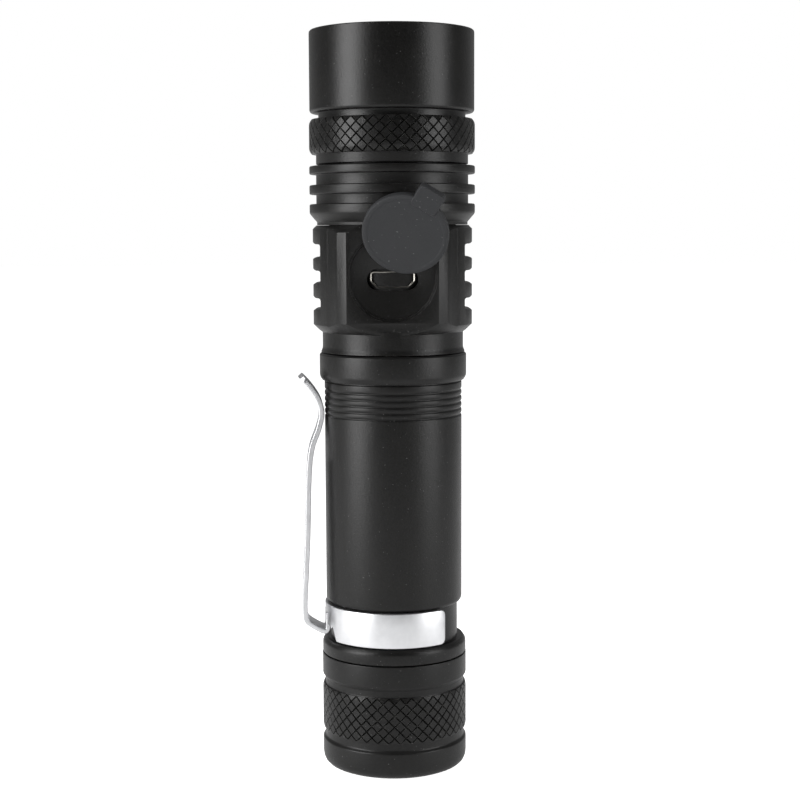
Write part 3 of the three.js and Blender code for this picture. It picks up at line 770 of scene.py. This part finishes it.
# %% Lens, bezel and seal
CROWN_R = 10.6
LENS_RIM = LENS_LOW + 1.4
lens_steps = 22
dome = [(CROWN_R * math.cos(t), LENS_RIM + (LENS_TOP - LENS_RIM) * math.sin(t))
        for t in (i / lens_steps * math.pi / 2 for i in range(lens_steps))]
rim = softened([(0.0, LENS_LOW), (LENS_R, LENS_LOW), (LENS_R, LENS_RIM), dome[0]], 0.12, closed=False)
lens = solid(turned([tuple(p) for p in rim] + dome[1:] + [(0.0, LENS_TOP)], 96, closed=False))
finished(lens, "lens_optic", LENS_CLEAR, "head", ["lens"], crease=50)

BEZEL_LOW, BEZEL_TOP = heights("bezel_ring")
BEZEL_R = radius_of("bezel_ring")
groove_pitch = 1.1
steps = []
for i in range(3):
    z = BEZEL_LOW + 0.9 + i * groove_pitch
    r = 11.0 + (z - BEZEL_LOW) * 0.19
    steps += [(r + 0.02, z), (r + 0.16, z + 0.14), (r + 0.12, z + 0.55)]
bezel_outline = softened(steps + [
    (11.92, BEZEL_TOP, 0.15),
    (12.2, BEZEL_TOP, 0.15),
    (BEZEL_R, BEZEL_TOP - 0.25, 0.1),
    (BEZEL_R, BEZEL_LOW),
    (11.0, BEZEL_LOW, 0.1),
], fillet=0.05)
finished(solid(turned(bezel_outline, 128)), "bezel", HEAD_FINISH, "head", ["bezel_ring"])


def o_ring(node, body, section):
    """A round rubber ring in the place of its CAD solid."""
    low, high = heights(node)
    middle = radius_of(node) - section
    outline = [(middle + section * math.cos(t), (low + high) / 2 + section * math.sin(t))
               for t in (i / 14 * 2 * math.pi for i in range(14))]
    finished(solid(turned(outline, 96)), node + "_seal", SEAL_RUBBER, body, [node], 60)


o_ring("lens_o_ring", "head", 0.55)
for seal in ("head_slide_o_ring", "front_tube_o_ring", "tail_tube_o_ring"):
    o_ring(seal, "root", 0.6)

# %% [markdown]
# ## Cooling fins
# Three fins, a taper under them and the slide tube are one turned piece. The fins repeat, so a loop
# writes their part of the outline; each has a small radius on its rim and a sharper one at its root.

# %% Finned neck
NECK_LOW, NECK_TOP = heights("finned_neck")
FIN_R = radius_of("finned_neck")
FIN_ROOT_R = FIN_R - 1.15
FIN_LOWS = (96.2, 99.4, 102.8)
FIN_TOPS = (97.8, 101.0, 104.2)
neck_outline = [(11.05, NECK_LOW - 0.1), (12.87, NECK_LOW - 0.1), (12.87, NECK_LOW + 0.4)]
for i, (low, top) in enumerate(zip(FIN_LOWS, FIN_TOPS)):
    if i:
        neck_outline.append((FIN_ROOT_R, low, 0.12))
    neck_outline.append((FIN_R, low, 0.3))
    neck_outline.append((FIN_R, top, 0.3))
    if i < 2:
        neck_outline.append((FIN_ROOT_R, top, 0.12))
neck_outline += [
    (12.2, FIN_TOPS[2]), (11.2, FIN_TOPS[2] + 0.02), (11.2, 112.6), (11.9, 112.6), (11.9, 113.3),
    (10.8, 113.3), (10.8, 114.7), (11.9, 114.7), (11.9, NECK_TOP), (9.3, NECK_TOP), (9.3, 100.5),
    (11.05, 100.5),
]
neck = solid(turned(softened(neck_outline, 0.08), 168))
finished(neck, "cooling_neck", BODY_FINISH, "root", ["finned_neck"])

# %% [markdown]
# ## Battery tube
# The tube carries a collar, five fine grip grooves, the narrow seat for the clip's band, a flange and a
# screw thread at each end. The grooves and the threads repeat at an even pitch, so loops write them
# into the outline. Turned grooves at this scale are scallops, so their corners are well rounded.

# %% Battery tube
TUBE_LOW, TUBE_TOP = heights("battery_tube")
COLLAR_R = radius_of("battery_tube")
TUBE_R = COLLAR_R - 0.8
BORE = 9.6
FLANGE_R = 12.55
FLANGE_LOW, FLANGE_TOP = 20.05, 22.75
SEAT_R, SEAT_TOP = 11.05, 29.1
COLLAR_LOW, COLLAR_TOP = 67.8, 72.5
THREAD_PITCH = 1.0


def thread(radius, low, high, depth=0.28):
    """The zigzag of a screw thread's section, from low to high."""
    points = []
    count = int((high - low) / THREAD_PITCH)
    for i in range(count):
        z = low + i * THREAD_PITCH
        points += [(radius, z + 0.1, 0.05), (radius - depth, z + 0.45, 0.05),
                   (radius - depth, z + 0.6, 0.05), (radius, z + 0.95, 0.05)]
    return points


def grip_grooves(radius, lowest, pitch, count, depth=0.17):
    points = []
    for i in range(count):
        z = lowest + i * pitch
        points += [(radius, z - 0.27, 0.15), (radius - depth, z - 0.06, 0.15),
                   (radius - depth, z + 0.06, 0.15), (radius, z + 0.27, 0.15)]
    return points


TAIL_THREAD_R, FRONT_THREAD_R = 10.85, 10.7
tube_outline = [(BORE, TUBE_LOW, 0.3), (TAIL_THREAD_R - 0.4, TUBE_LOW)]
tube_outline += thread(TAIL_THREAD_R, TUBE_LOW + 0.4, 17.4)
tube_outline += [
    (TAIL_THREAD_R, 18.2), (TAIL_THREAD_R - 0.75, 18.2), (TAIL_THREAD_R - 0.75, 19.7),
    (TAIL_THREAD_R, 19.7), (TAIL_THREAD_R, FLANGE_LOW), (FLANGE_R, FLANGE_LOW, 0.22),
    (FLANGE_R, FLANGE_TOP - 0.75, 0.3), (FLANGE_R - 0.5, FLANGE_TOP, 0.2), (SEAT_R, FLANGE_TOP),
    (SEAT_R, SEAT_TOP), (TUBE_R - 0.35, SEAT_TOP, 0.15), (TUBE_R, SEAT_TOP + 0.5, 0.35),
]
tube_outline += grip_grooves(TUBE_R, 61.9, 1.06, 5)
tube_outline += [
    (TUBE_R, COLLAR_LOW - 0.35), (TUBE_R - 0.2, COLLAR_LOW - 0.25), (TUBE_R - 0.2, COLLAR_LOW),
    (COLLAR_R - 0.45, COLLAR_LOW, 0.12), (COLLAR_R, COLLAR_LOW + 0.7, 0.35),
    (COLLAR_R, COLLAR_TOP - 0.3, 0.1), (COLLAR_R - 0.3, COLLAR_TOP, 0.08), (FRONT_THREAD_R, COLLAR_TOP),
    (FRONT_THREAD_R, 73.1), (FRONT_THREAD_R - 0.75, 73.1), (FRONT_THREAD_R - 0.75, 74.6),
    (FRONT_THREAD_R, 74.6),
]
tube_outline += thread(FRONT_THREAD_R, 75.0, TUBE_TOP - 0.2)
tube_outline += [(FRONT_THREAD_R - 0.3, TUBE_TOP), (BORE, TUBE_TOP)]
tube = solid(turned(softened(tube_outline, 0.06), 144))
finished(tube, "tube_shell", BODY_FINISH, "root", ["battery_tube"])

# %% [markdown]
# ## Port block
# The charging port sits in a block milled from the round bar: a flat at the front and back, two bevelled
# strips at each corner, and round sides with three slots. Milling is cutting, so it is made the way it is
# machined: the upright outline is intersected with the turned blank, and slots, recess, port mouth and
# bore are cut from it. A fine bevel then breaks every edge.

# %% Port block
BLOCK_R = radius_of("port_housing")
HOUSING_LOW, HOUSING_TOP = heights("port_housing")
BLOCK_LOW, BLOCK_TOP = 76.05, 94.2
FLAT_Y = 12.0
FLAT_HALF = 7.65
CORNER_POINTS = [(FLAT_HALF, FLAT_Y), (9.17, 10.9), (10.7, 8.3), (11.05, 8.0)]
NECK_R = 12.1
PORT_Z, USB_Z = 85.7, 85.25


def mirrored_outline(quarter_points, side_radius, side_steps=22):
    """Both flats, the corner strips and the round sides, as one closed outline."""
    start = math.atan2(quarter_points[-1][1], quarter_points[-1][0])
    right = [(x, -y) for x, y in quarter_points]
    for i in range(1, side_steps):
        turn = -start + 2 * start * i / side_steps
        right.append((side_radius * math.cos(turn), side_radius * math.sin(turn)))
    right += [(x, y) for x, y in reversed(quarter_points)]
    return right + [(-x, y) for x, y in reversed(right)]


def slot_tool(side, low, high):
    """A rounded cutter for one side slot, running along Y past the block."""
    floor, mouth, flare = 12.17, 13.15, 0.42
    corner = 0.5
    outline = softened([
        (floor, low, corner), (mouth, low, 0.5), (BLOCK_R + 0.08, low - flare, 0.1), (16.0, low - flare),
        (16.0, high + flare), (BLOCK_R + 0.08, high + flare, 0.1), (mouth, high, 0.5),
        (floor, high, corner)], 0.1, 4)
    rings = [[Vector((side * x, y, z)) for x, z in outline] for y in (-10.0, 10.0)]
    return solid(lofted(rings))


def towards_port(outline, inner, outer):
    """An outline in X and Z, swept along -Y between two depths in front of the axis."""
    return solid(lofted([[Vector((x, -depth, z)) for x, z in outline] for depth in (inner, outer)]))


def stadium(width, height, centre, steps=14):
    r = height / 2
    points = []
    for side in (1, -1):
        for i in range(steps + 1):
            turn = -math.pi / 2 + math.pi * i / steps
            points.append((side * (width / 2 - r + r * math.cos(turn)), centre + side * r * math.sin(turn)))
    return points


def round_recess():
    """The shallow dish round the port, with a narrow step that the cover's rim sits in."""
    profile = [(0.0, -13.0), (7.62, -13.0), (7.50, -FLAT_Y + 0.05), (7.32, -FLAT_Y + 0.28),
               (7.18, -FLAT_Y + 0.30), (7.02, -11.2), (0.0, -11.2)]
    dish = turned(profile, 96, closed=False)
    bmesh.ops.transform(dish, matrix=Matrix.Translation((0, 0, PORT_Z)) @ Matrix.Rotation(
        math.radians(-90), 4, "X") @ Matrix.Scale(-1, 4, (0, 1, 0)), verts=dish.verts)
    return solid(dish)


LEASH = JOINTS["cover_swing"]
LEASH_BASE = Vector(LEASH["pos_m"]) / MM
LEASH_AXIS = Vector(LEASH["axis"]).normalized()


def along_leash(mesh):
    """Moves a mesh made round +Z at the origin so that +Z lies along the leash."""
    turn = Vector((0, 0, 1)).rotation_difference(LEASH_AXIS).to_matrix().to_4x4()
    bmesh.ops.transform(mesh, matrix=Matrix.Translation(LEASH_BASE) @ turn, verts=mesh.verts)
    return mesh


blank = solid(turned([
    (0.0, BLOCK_LOW), (NECK_R + 0.02, BLOCK_LOW), (NECK_R + 0.5, BLOCK_LOW + 0.35),
    (14.32, BLOCK_LOW + 2.0), (14.32, BLOCK_TOP - 1.3), (13.02, BLOCK_TOP), (0.0, BLOCK_TOP)], 144,
    closed=False))
upright = solid(prism(mirrored_outline(CORNER_POINTS, BLOCK_R), BLOCK_LOW - 1, BLOCK_TOP + 1))
port_block = boolean(blank, [upright], "INTERSECT")
slots = [slot_tool(side, low, high)
         for low, high in ((80.05, 81.95), (84.5, 86.6), (88.85, 91.05)) for side in (-1, 1)]
leash_hole = solid(along_leash(turned([(0, -6), (1.4, -6), (1.4, 2), (0, 2)], 40, closed=False)))
port_block = cut(port_block, *slots)
port_block = cut(port_block, round_recess(), towards_port(stadium(8.5, 3.6, USB_Z), 6.0, 12.5), leash_hole)
bevelled(port_block, 0.11, 24)
neck_part = solid(turned(softened([
    (0.0, HOUSING_LOW), (12.4, HOUSING_LOW, 0.1), (NECK_R, HOUSING_LOW + 0.7, 0.3),
    (NECK_R, BLOCK_LOW + 0.5), (10.85, BLOCK_LOW + 0.6), (10.85, HOUSING_TOP), (0.0, HOUSING_TOP),
], 0.08, closed=False), 144, closed=False))
housing_bore = solid(turned([
    (0, 60), (11.45, 60), (11.45, 74.9), (10.85, 75.2), (10.85, 77.6), (9.4, 77.6), (9.4, 81.6),
    (9.9, 81.6), (9.9, 120), (0, 120)], 144, closed=False))
port_block = cut(joined(port_block, neck_part), housing_bore)
finished(port_block, "port_block", BODY_FINISH, "root", ["port_housing"], crease=28)

# %% [markdown]
# ## Charging socket
# A micro-USB socket is folded from thin steel round a plastic tongue. Its section is wide at the top and
# slanted at the lower corners. The shell is one loft: out along the outside, over the lip and back down
# the inside. The five contacts repeat, so a small tree sets them in a row.

# %% Socket shell and tongue


def socket_outline(width, height, corner, slant):
    half, top = width / 2, height / 2
    return softened([(-half, top, corner), (-half, slant - top, 0.25), (-half + slant, -top, 0.25),
                     (half - slant, -top, 0.25), (half, slant - top, 0.25), (half, top, corner)], steps=5)


outside = socket_outline(7.6, 2.85, 0.55, 1.15)
lip = socket_outline(7.3, 2.55, 0.5, 1.02)
inside = socket_outline(6.96, 2.21, 0.42, 0.92)
shell_rings = [(outside, 5.4), (outside, 10.78), (lip, 10.9), (inside, 10.78), (inside, 5.9)]
shell = solid(lofted([[Vector((x, -depth, USB_Z + z)) for x, z in ring] for ring, depth in shell_rings]))
# The shell's steel colour carries painted shade for the cover's shadow over the socket.
finished(shell, "socket_shell", SOCKET_STEEL_PAINTED_SHADE, "root", ["usb_socket_shell"])

root_part = solid(block((-2.3, -7.0, USB_Z - 0.75), (2.3, -6.1, USB_Z + 0.8), 0.1, 0.08))
blade = solid(block((-1.95, -10.3, USB_Z + 0.1), (1.95, -6.5, USB_Z + 0.65), 0.3, 0.08))
finished(joined(root_part, blade), "socket_tongue", BLACK_PLASTIC, "root",
         ["usb_socket_tongue"])

# %% Contact row


def row_tree():
    nodes = Nodes("even_row", [
        ("Count", "NodeSocketInt", 5), ("Pitch", "NodeSocketFloat", 0.65),
        ("Width", "NodeSocketFloat", 0.3), ("Length", "NodeSocketFloat", 2.8),
        ("Thickness", "NodeSocketFloat", 0.1), ("Centre", "NodeSocketVector", None),
        ("Finish", "NodeSocketMaterial", None)])
    given = nodes.given
    size = nodes.vector(given["Width"], given["Length"], given["Thickness"])
    blade_shape = nodes.add("GeometryNodeMeshCube", {}, {"Size": size, "Vertices Y": 3})
    half = nodes.math("MULTIPLY", nodes.math("SUBTRACT", given["Count"], 1.0), -0.5)
    start = nodes.vector(nodes.math("MULTIPLY", half, given["Pitch"]), 0.0, 0.0)
    offset = nodes.vector(given["Pitch"], 0.0, 0.0)
    line = nodes.add("GeometryNodeMeshLine", {}, {
        "Count": given["Count"], "Start Location": start, "Offset": offset})
    blades = nodes.add("GeometryNodeInstanceOnPoints", {}, {"Points": line, "Instance": blade_shape})
    placed = nodes.add("GeometryNodeTransform", {}, {"Geometry": blades, "Translation": given["Centre"]})
    return nodes.finish(placed, given["Finish"])


contact_low, contact_high = span("usb_contact_1")
contact_middle = (span("usb_contact_1")[0] + span("usb_contact_5")[1]) / 2
size = contact_high - contact_low
contacts = run_tree(row_tree(), count=5, pitch=0.65, width=size.x, length=size.y, thickness=size.z,
                    centre=tuple(contact_middle), finish=GOLD)
finished(contacts, "socket_contacts", GOLD, "root", [f"usb_contact_{i}" for i in range(1, 6)])

# %% [markdown]
# ## Port cover
# The cover is a moulded rubber disc with a pull tab, on a leash whose bulb is pushed through a hole in
# the block. The disc is built closed over the port, then moved out along the leash and swung up to its
# open rest, by the same joint that swings it later. Its face is plain, with a faint dish.

# %% Cover and leash
COVER_R = 7.1
COVER_THICK = 1.5
COVER_DROP = 4.5
COVER_BACK = 12.15
TAB_HALF, TAB_OUT = 2.25, 2.1
LEASH_PULL = 1.3
SWING = math.radians(149)

cover_outline = softened([
    (0.0, 0.0), (COVER_R - 0.75, 0.0), (COVER_R - 0.72, 0.08), (COVER_R, 0.12, 0.3),
    (COVER_R, COVER_THICK - 0.02, 0.38), (COVER_R - 0.75, COVER_THICK, 0.12),
    (COVER_R - 0.95, COVER_THICK - 0.07, 0.12), (0.0, COVER_THICK - 0.10)], 0.1, closed=False)
plate = turned(cover_outline, 128, closed=False)
tab_low = -COVER_R - TAB_OUT
tab_outline = softened([(-TAB_HALF, tab_low, 0.7), (TAB_HALF, tab_low, 0.7), (TAB_HALF, -5.3, 0.5),
                        (-TAB_HALF, -5.3, 0.5)], steps=6)
cover = joined(solid(plate), solid(prism(tab_outline, 0.1, COVER_THICK + 0.12, 0.14)))
facing = Matrix.Rotation(math.radians(90), 4, "X")
closed_place = Matrix.Translation((0, -COVER_BACK, LEASH_BASE.z - COVER_DROP))
outward = Matrix.Translation(LEASH_AXIS * LEASH_PULL)
swing = (Matrix.Translation(LEASH_BASE) @ Matrix.Rotation(SWING, 4, LEASH_AXIS)
         @ Matrix.Translation(-LEASH_BASE))
cover.data.transform(outward @ swing @ closed_place @ facing)
finished(cover, "cover_disc", COVER_RUBBER, "usb_cover", ["usb_cover"], crease=40)

stem = softened([(0, -3.65), (1.2, -3.65, 0.3), (1.75, -3.1, 0.3), (1.1, -2.75, 0.2),
                 (1.1, 1.75, 0.3), (0, 1.8)], 0.1, closed=False)
leash = solid(along_leash(turned(stem, 48, closed=False)))
finished(leash, "cover_stem", COVER_RUBBER, "cover_leash", ["cover_leash"], crease=40)

# %% [markdown]
# ## Pocket clip
# The clip is one strip of spring steel. A C-shaped band snaps on the tube's seat; at the back of the C
# the strip turns down, folds outward and runs up as the arm, in to a contact point and out again as a
# lead-in. The arm is a soft rectangle lofted along its bend line, and the band the same section lofted
# round the seat, with its ends rounded by shortening the section. A stamped line and a small window are
# cut from the arm.

# %% Clip band
STEEL = 0.9
BAND_LOW, BAND_TOP = 22.95, 28.95
BAND_R = SEAT_R + 0.15 + STEEL / 2
BAND_OPEN = math.radians(48)
BAND_CORNER = 0.9
TONGUE_ARC = 25
RELIEF_TOP = 25.2


def soft_section(width, thickness, edge=0.16):
    """A rectangle with rounded corners, across and through the strip."""
    a, b = width / 2, thickness / 2
    return softened([(-a, -b), (a, -b), (a, b), (-a, b)], edge, 3)


def corner_lift(distance):
    """How far a rounded corner raises the edge at a distance from the strip's end."""
    inside = max(0.0, BAND_CORNER - distance)
    return BAND_CORNER - math.sqrt(max(0.0, BAND_CORNER ** 2 - inside ** 2))


def relief(angle_from_back):
    """The lower edge's rise beside the tongue, with slanted sides."""
    side = (TONGUE_ARC + 5 - angle_from_back) / 5
    return (RELIEF_TOP - BAND_LOW) * min(1.0, max(0.0, side))


def band_angles():
    """Angles from +X, close together at both ends so that the corners come out round."""
    end = 2 * math.pi - BAND_OPEN
    fine = [BAND_CORNER / BAND_R * (1 - math.cos(i / 6 * math.pi / 2)) for i in range(6)]
    middle = [BAND_OPEN + 0.09 + (end - BAND_OPEN - 0.18) * i / 100 for i in range(101)]
    return [BAND_OPEN + step for step in fine] + middle + [end - step for step in reversed(fine)]


def band_ring(angle):
    along = min(angle - BAND_OPEN, 2 * math.pi - BAND_OPEN - angle) * BAND_R
    lift = corner_lift(along)
    low = BAND_LOW + max(lift, relief(abs(math.degrees(angle) - 180)))
    high = BAND_TOP - lift
    ring = []
    for across, through in soft_section(high - low, STEEL):
        radius = BAND_R + through
        ring.append(Vector((radius * math.cos(angle), radius * math.sin(angle), (low + high) / 2 + across)))
    return ring


band = solid(lofted([band_ring(angle) for angle in band_angles()]))
print("band:", len(band.data.polygons), "faces")

# %% Clip arm
ARM_WIDTH = 5.0
BEND_LINE = [(-BAND_R, 27.2), (-BAND_R, 24.9), (-BAND_R - 0.15, 24.15), (-12.4, 23.95), (-13.3, 24.35),
             (-14.7, 25.2), (-15.35, 25.85), (-15.62, 26.9), (-15.6, 30.5), (-15.1, 40.0),
             (-14.75, 51.0), (-14.2, 56.0), (-12.95, 59.6), (-12.45, 62.2), (-13.0, 64.6),
             (-14.4, 66.8), (-16.1, 68.7)]


def spline_points(points, steps):
    """A smooth line through the given points, evenly stepped between each pair."""
    line = []
    padded = [2 * Vector(points[0]) - Vector(points[1])] + [Vector(p) for p in points]
    padded.append(2 * Vector(points[-1]) - Vector(points[-2]))
    for a, b, c, d in zip(padded, padded[1:], padded[2:], padded[3:]):
        for i in range(steps):
            t = i / steps
            line.append(0.5 * (2 * b + (c - a) * t + (2 * a - 5 * b + 4 * c - d) * t ** 2
                               + (3 * b - a - 3 * c + d) * t ** 3))
    return line + [Vector(points[-1])]


def arm_ring(line, i):
    before, after = line[max(i - 1, 0)], line[min(i + 1, len(line) - 1)]
    along = (after - before).normalized()
    side = Vector((-along.y, along.x))
    from_tip = (line[-1] - line[i]).length
    narrowed = max(0.0, 1.6 - from_tip)
    width = ARM_WIDTH - 2 * (1.6 - math.sqrt(max(0.0, 1.6 ** 2 - narrowed ** 2)))
    ring = []
    for across, through in soft_section(max(width, 1.9), STEEL):
        point = line[i] + side * through
        ring.append(Vector((point.x, across, point.y)))
    return ring


bend = spline_points(BEND_LINE, 10)
arm = solid(lofted([arm_ring(bend, i) for i in range(len(bend))]))
clip = joined(band, arm)
window = solid(block((-18.0, -1.25, 53.6), (-10.0, 1.25, 58.0), 0.0))
line_low, line_high, line_half = 31.0, 52.0, 0.38
stamped = solid(block((-17.5, -line_half, line_low), (-15.3, line_half, line_high), 0.0))
stamped.data.transform(Matrix.Translation((0, 0, line_low)) @ Matrix.Rotation(math.radians(2.4), 4, "Y")
                       @ Matrix.Translation((0, 0, -line_low)))
clip = cut(clip, window, stamped)
clip.data.transform(Matrix.Rotation(math.radians(4), 4, "Z"))
finished(clip, "clip_spring", CLIP_STEEL, "pocket_clip",
         ["pocket_clip"], crease=35)

# %% [markdown]
# ## Tail cap
# The cap is turned like the head: a smooth band, a groove, the knurl, a groove and another smooth band,
# with a generous radius where it stands. Inside it holds the switch and the thread for the tube.

# %% Tail cap
CAP_LOW, CAP_TOP = heights("tail_cap")
CAP_R = radius_of("tail_cap")
CAP_GRIP_LOW, CAP_GRIP_TOP = 6.5, 14.4
GROOVE_R = CAP_R - 0.42
CAP_DROP = 0.16
CAP_EDGE_R = CAP_R - KNURL_DEPTH - CAP_DROP
cap_outline = softened([
    (CAP_EDGE_R, CAP_GRIP_TOP), (GROOVE_R, CAP_GRIP_TOP + 0.1), (GROOVE_R, 15.55),
    (CAP_R - 0.12, 16.0, 0.15), (CAP_R, 16.2, 0.15), (CAP_R, CAP_TOP, 0.14),
    (11.5, CAP_TOP), (11.5, 18.0), (11.0, 17.7), (11.0, 13.5), (9.9, 13.5), (9.9, 3.95),
    (6.1, 3.95), (6.1, 1.3), (7.3, CAP_LOW, 0.25), (CAP_R, CAP_LOW, 2.9), (CAP_R, 4.7, 0.15),
    (GROOVE_R, 5.1, 0.2), (GROOVE_R, CAP_GRIP_LOW - 0.1), (CAP_EDGE_R, CAP_GRIP_LOW),
], fillet=0.08, steps=5, closed=False)
cap = with_knurl(cap_outline, CAP_GRIP_LOW, CAP_GRIP_TOP, CAP_R, 40, 8, 0.8, CAP_DROP)
finished(cap, "cap_shell", KNURL_FINISH, "tail_cap", ["tail_cap"])

# %% [markdown]
# ## Switch button
# The button is a soft rubber boot over the plunger. Small pips moulded on its face give grip; they sit
# on rings, so a tree repeats one low dome round the axis for each ring.

# %% Switch boot
BOOT_LOW, BOOT_TOP = heights("switch_boot")
BOOT_R = 5.8


def pip_tree():
    nodes = Nodes("pip_rings", [
        ("Count", "NodeSocketInt", 12), ("Ring Radius", "NodeSocketFloat", 3.0),
        ("Pip Radius", "NodeSocketFloat", 0.3), ("Height", "NodeSocketFloat", 0.2),
        ("Level", "NodeSocketFloat", 0.0), ("Finish", "NodeSocketMaterial", None)])
    given = nodes.given
    pip = nodes.add("GeometryNodeMeshUVSphere", {}, {
        "Segments": 12, "Rings": 8, "Radius": given["Pip Radius"]})
    circle = nodes.add("GeometryNodeMeshCircle", {}, {
        "Vertices": given["Count"], "Radius": given["Ring Radius"]})
    flatten = nodes.math("DIVIDE", given["Height"], given["Pip Radius"])
    pips = nodes.add("GeometryNodeInstanceOnPoints", {}, {
        "Points": circle, "Instance": pip, "Scale": nodes.vector(1.0, 1.0, flatten)})
    placed = nodes.add("GeometryNodeTransform", {}, {
        "Geometry": pips, "Translation": nodes.vector(0.0, 0.0, given["Level"])})
    return nodes.finish(placed, given["Finish"])


boot_outline = softened([
    (0, BOOT_LOW + 0.22), (4.6, BOOT_LOW + 0.3, 0.8), (BOOT_R, BOOT_LOW + 1.1, 0.8), (BOOT_R, 4.1),
    (7.4, 4.1), (7.4, BOOT_TOP), (4.5, BOOT_TOP), (4.5, 1.9, 0.4), (0, 1.9)], 0.1, closed=False)
boot = solid(turned(boot_outline, 96, closed=False))
pips = pip_tree()
for count, ring_radius in ((6, 1.35), (12, 2.7), (18, 4.0)):
    boot = joined(boot, run_tree(pips, count=count, ring_radius=ring_radius, pip_radius=0.34, height=0.2,
                                 level=BOOT_LOW + 0.24, finish=BOOT_RUBBER))
finished(boot, "switch_button", BOOT_RUBBER, "tail_button", ["switch_boot"], crease=40)

# %% [markdown]
# ## Light source
# Behind the lens sits the emitter: a white ceramic base, a square of yellow phosphor and a clear dome.
# The lens magnifies it, so it gets its own small pieces.

# %% Emitter
EMITTER_LOW, EMITTER_TOP = heights("led_emitter")
emitter_half = radius_of("led_emitter")
base_top = EMITTER_LOW + 0.65
ceramic = solid(block((-emitter_half, -emitter_half, EMITTER_LOW), (emitter_half, emitter_half, base_top),
                      0.25, 0.06))
finished(ceramic, "emitter_base", WHITE_CERAMIC, "root", ["led_emitter"])
pad = solid(block((-1.1, -1.1, base_top + 0.01), (1.1, 1.1, base_top + 0.2), 0.1, 0.04))
finished(pad, "emitter_phosphor", PHOSPHOR, "root")
dome_r = EMITTER_TOP - base_top
dome_line = [(0.0, base_top + 0.22)] + [
    (dome_r * math.cos(t), base_top + 0.22 + (dome_r - 0.22) * math.sin(t))
    for t in (i / 12 * math.pi / 2 for i in range(12))] + [(0.0, EMITTER_TOP)]
finished(solid(turned(dome_line, 48, closed=False)), "emitter_dome", LENS_CLEAR, "root",
         crease=50)

# %% [markdown]
# ## What stays as it is
# The inner pieces are already the right shape, and most are hidden: boards, cell, wires, spring and
# washers. Each keeps its CAD mesh and gets the finish of its material.

# %% Finishes of the inner pieces
INNER = {
    "led_pill": BRASS, "led_board": WHITE_BOARD, "led_wire_red": RED_PLASTIC,
    "led_wire_black": BLACK_PLASTIC, "driver_board": GREEN_BOARD, "driver_inductor": BLACK_PLASTIC,
    "charge_board": GREEN_BOARD, "charge_chip": BLACK_PLASTIC, "positive_contact": BRASS,
    "battery_cell": CELL_WRAP, "battery_insulator": PAPER, "battery_positive_cap": SPRING_STEEL,
    "switch_plunger": BLACK_PLASTIC, "boot_washer": SPRING_STEEL, "switch_body": BLACK_PLASTIC,
    "switch_board": GREEN_BOARD, "switch_retaining_ring": ALUMINIUM, "tail_spring": SPRING_STEEL,
}
for node, finish in INNER.items():
    frame["nodes"][node].data.materials.clear()
    frame["nodes"][node].data.materials.append(finish)
print("inner pieces:", len(INNER))

# %% [markdown]
# ## Studio
# Black metal shows nothing but what it mirrors. Here it stands on a glowing pale floor, with a white
# wall behind and a dark room in front. Two tall soft boxes, left and right of the viewer, draw the two
# long highlights on the barrel and leave its middle dark. The wall gives the thin bright rim at both
# outlines, and the floor is what the steel band reflects.

# %% Floor
FLOOR_GLOW = 0.42
floor_finish = Finish("studio_floor", Metallic=0.0, Emission_Strength=1.0)
seen_by_viewer = floor_finish.node("ShaderNodeLightPath", {}, {}, "Is Camera Ray")
floor_finish.set(Base_Color=floor_finish.mixed(floor_finish.noise(40.0), grey(0.86), grey(0.90)),
                 Roughness=0.75 + 0.05 * floor_finish.noise(6.0),
                 Emission_Color=floor_finish.mixed(seen_by_viewer, grey(FLOOR_GLOW), grey(1.0)))
bpy.ops.mesh.primitive_circle_add(vertices=96, radius=4.0, fill_type="NGON", location=(0, 0, -0.0002))
floor = bpy.context.object
floor.name = "studio_floor"
floor.data.materials.append(floor_finish.material)

# %% Room
world = bpy.data.worlds.new("studio_room")
world.use_nodes = True
bpy.context.scene.world = world
room = world.node_tree
background = room.nodes["Background"]
DARK_FRONT, WHITE_WALL = 0.012, 0.30


def room_node(kind, settings, sockets, output=0):
    node = room.nodes.new(kind)
    for key, value in settings.items():
        setattr(node, key, value)
    for key, value in sockets.items():
        if isinstance(value, bpy.types.NodeSocket):
            room.links.new(value, node.inputs[key])
        else:
            node.inputs[key].default_value = value
    return node.outputs[output]


direction = room_node("ShaderNodeTexCoord", {}, {}, "Generated")
depth = room_node("ShaderNodeSeparateXYZ", {}, {0: direction}, 1)
behind = room_node("ShaderNodeMapRange", {"interpolation_type": "SMOOTHSTEP"},
                   {"Value": depth, "From Min": -0.15, "From Max": 0.75,
                    "To Min": DARK_FRONT, "To Max": WHITE_WALL})
seen_directly = room_node("ShaderNodeLightPath", {}, {}, "Is Camera Ray")
tone = room_node("ShaderNodeMix", {"data_type": "RGBA"}, {0: seen_directly, 6: behind,
                                                            7: (1.0, 1.0, 1.0, 1.0)}, 2)
room.links.new(tone, background.inputs["Color"])

# %% Lights
MIDDLE = Vector((0.0, 0.0, 0.07))


def soft_box(name, azimuth, height, distance, size, radiance):
    """An area light aimed at the middle. Azimuth 0 is the viewer's side, and it grows to the right."""
    data = bpy.data.lights.new(name, "AREA")
    data.shape = "RECTANGLE"
    data.size, data.size_y = size
    data.energy = radiance * math.pi * size[0] * size[1]
    light = bpy.data.objects.new(name, data)
    turn = math.radians(azimuth)
    light.location = (distance * math.sin(turn), -distance * math.cos(turn), height)
    aim = MIDDLE - light.location
    light.rotation_euler = aim.to_track_quat("-Z", "Y").to_euler()
    light.visible_camera = False
    bpy.context.scene.collection.objects.link(light)


soft_box("key_left", -61, 0.20, 0.55, (0.30, 0.55), 9.2)
soft_box("key_right", 64, 0.20, 0.60, (0.30, 0.55), 5.3)
soft_box("overhead", 0, 0.95, 0.05, (1.0, 1.0), 0.35)
bpy.context.scene.view_settings.view_transform = "Standard"

# %% Update the scene
bpy.context.view_layer.update()
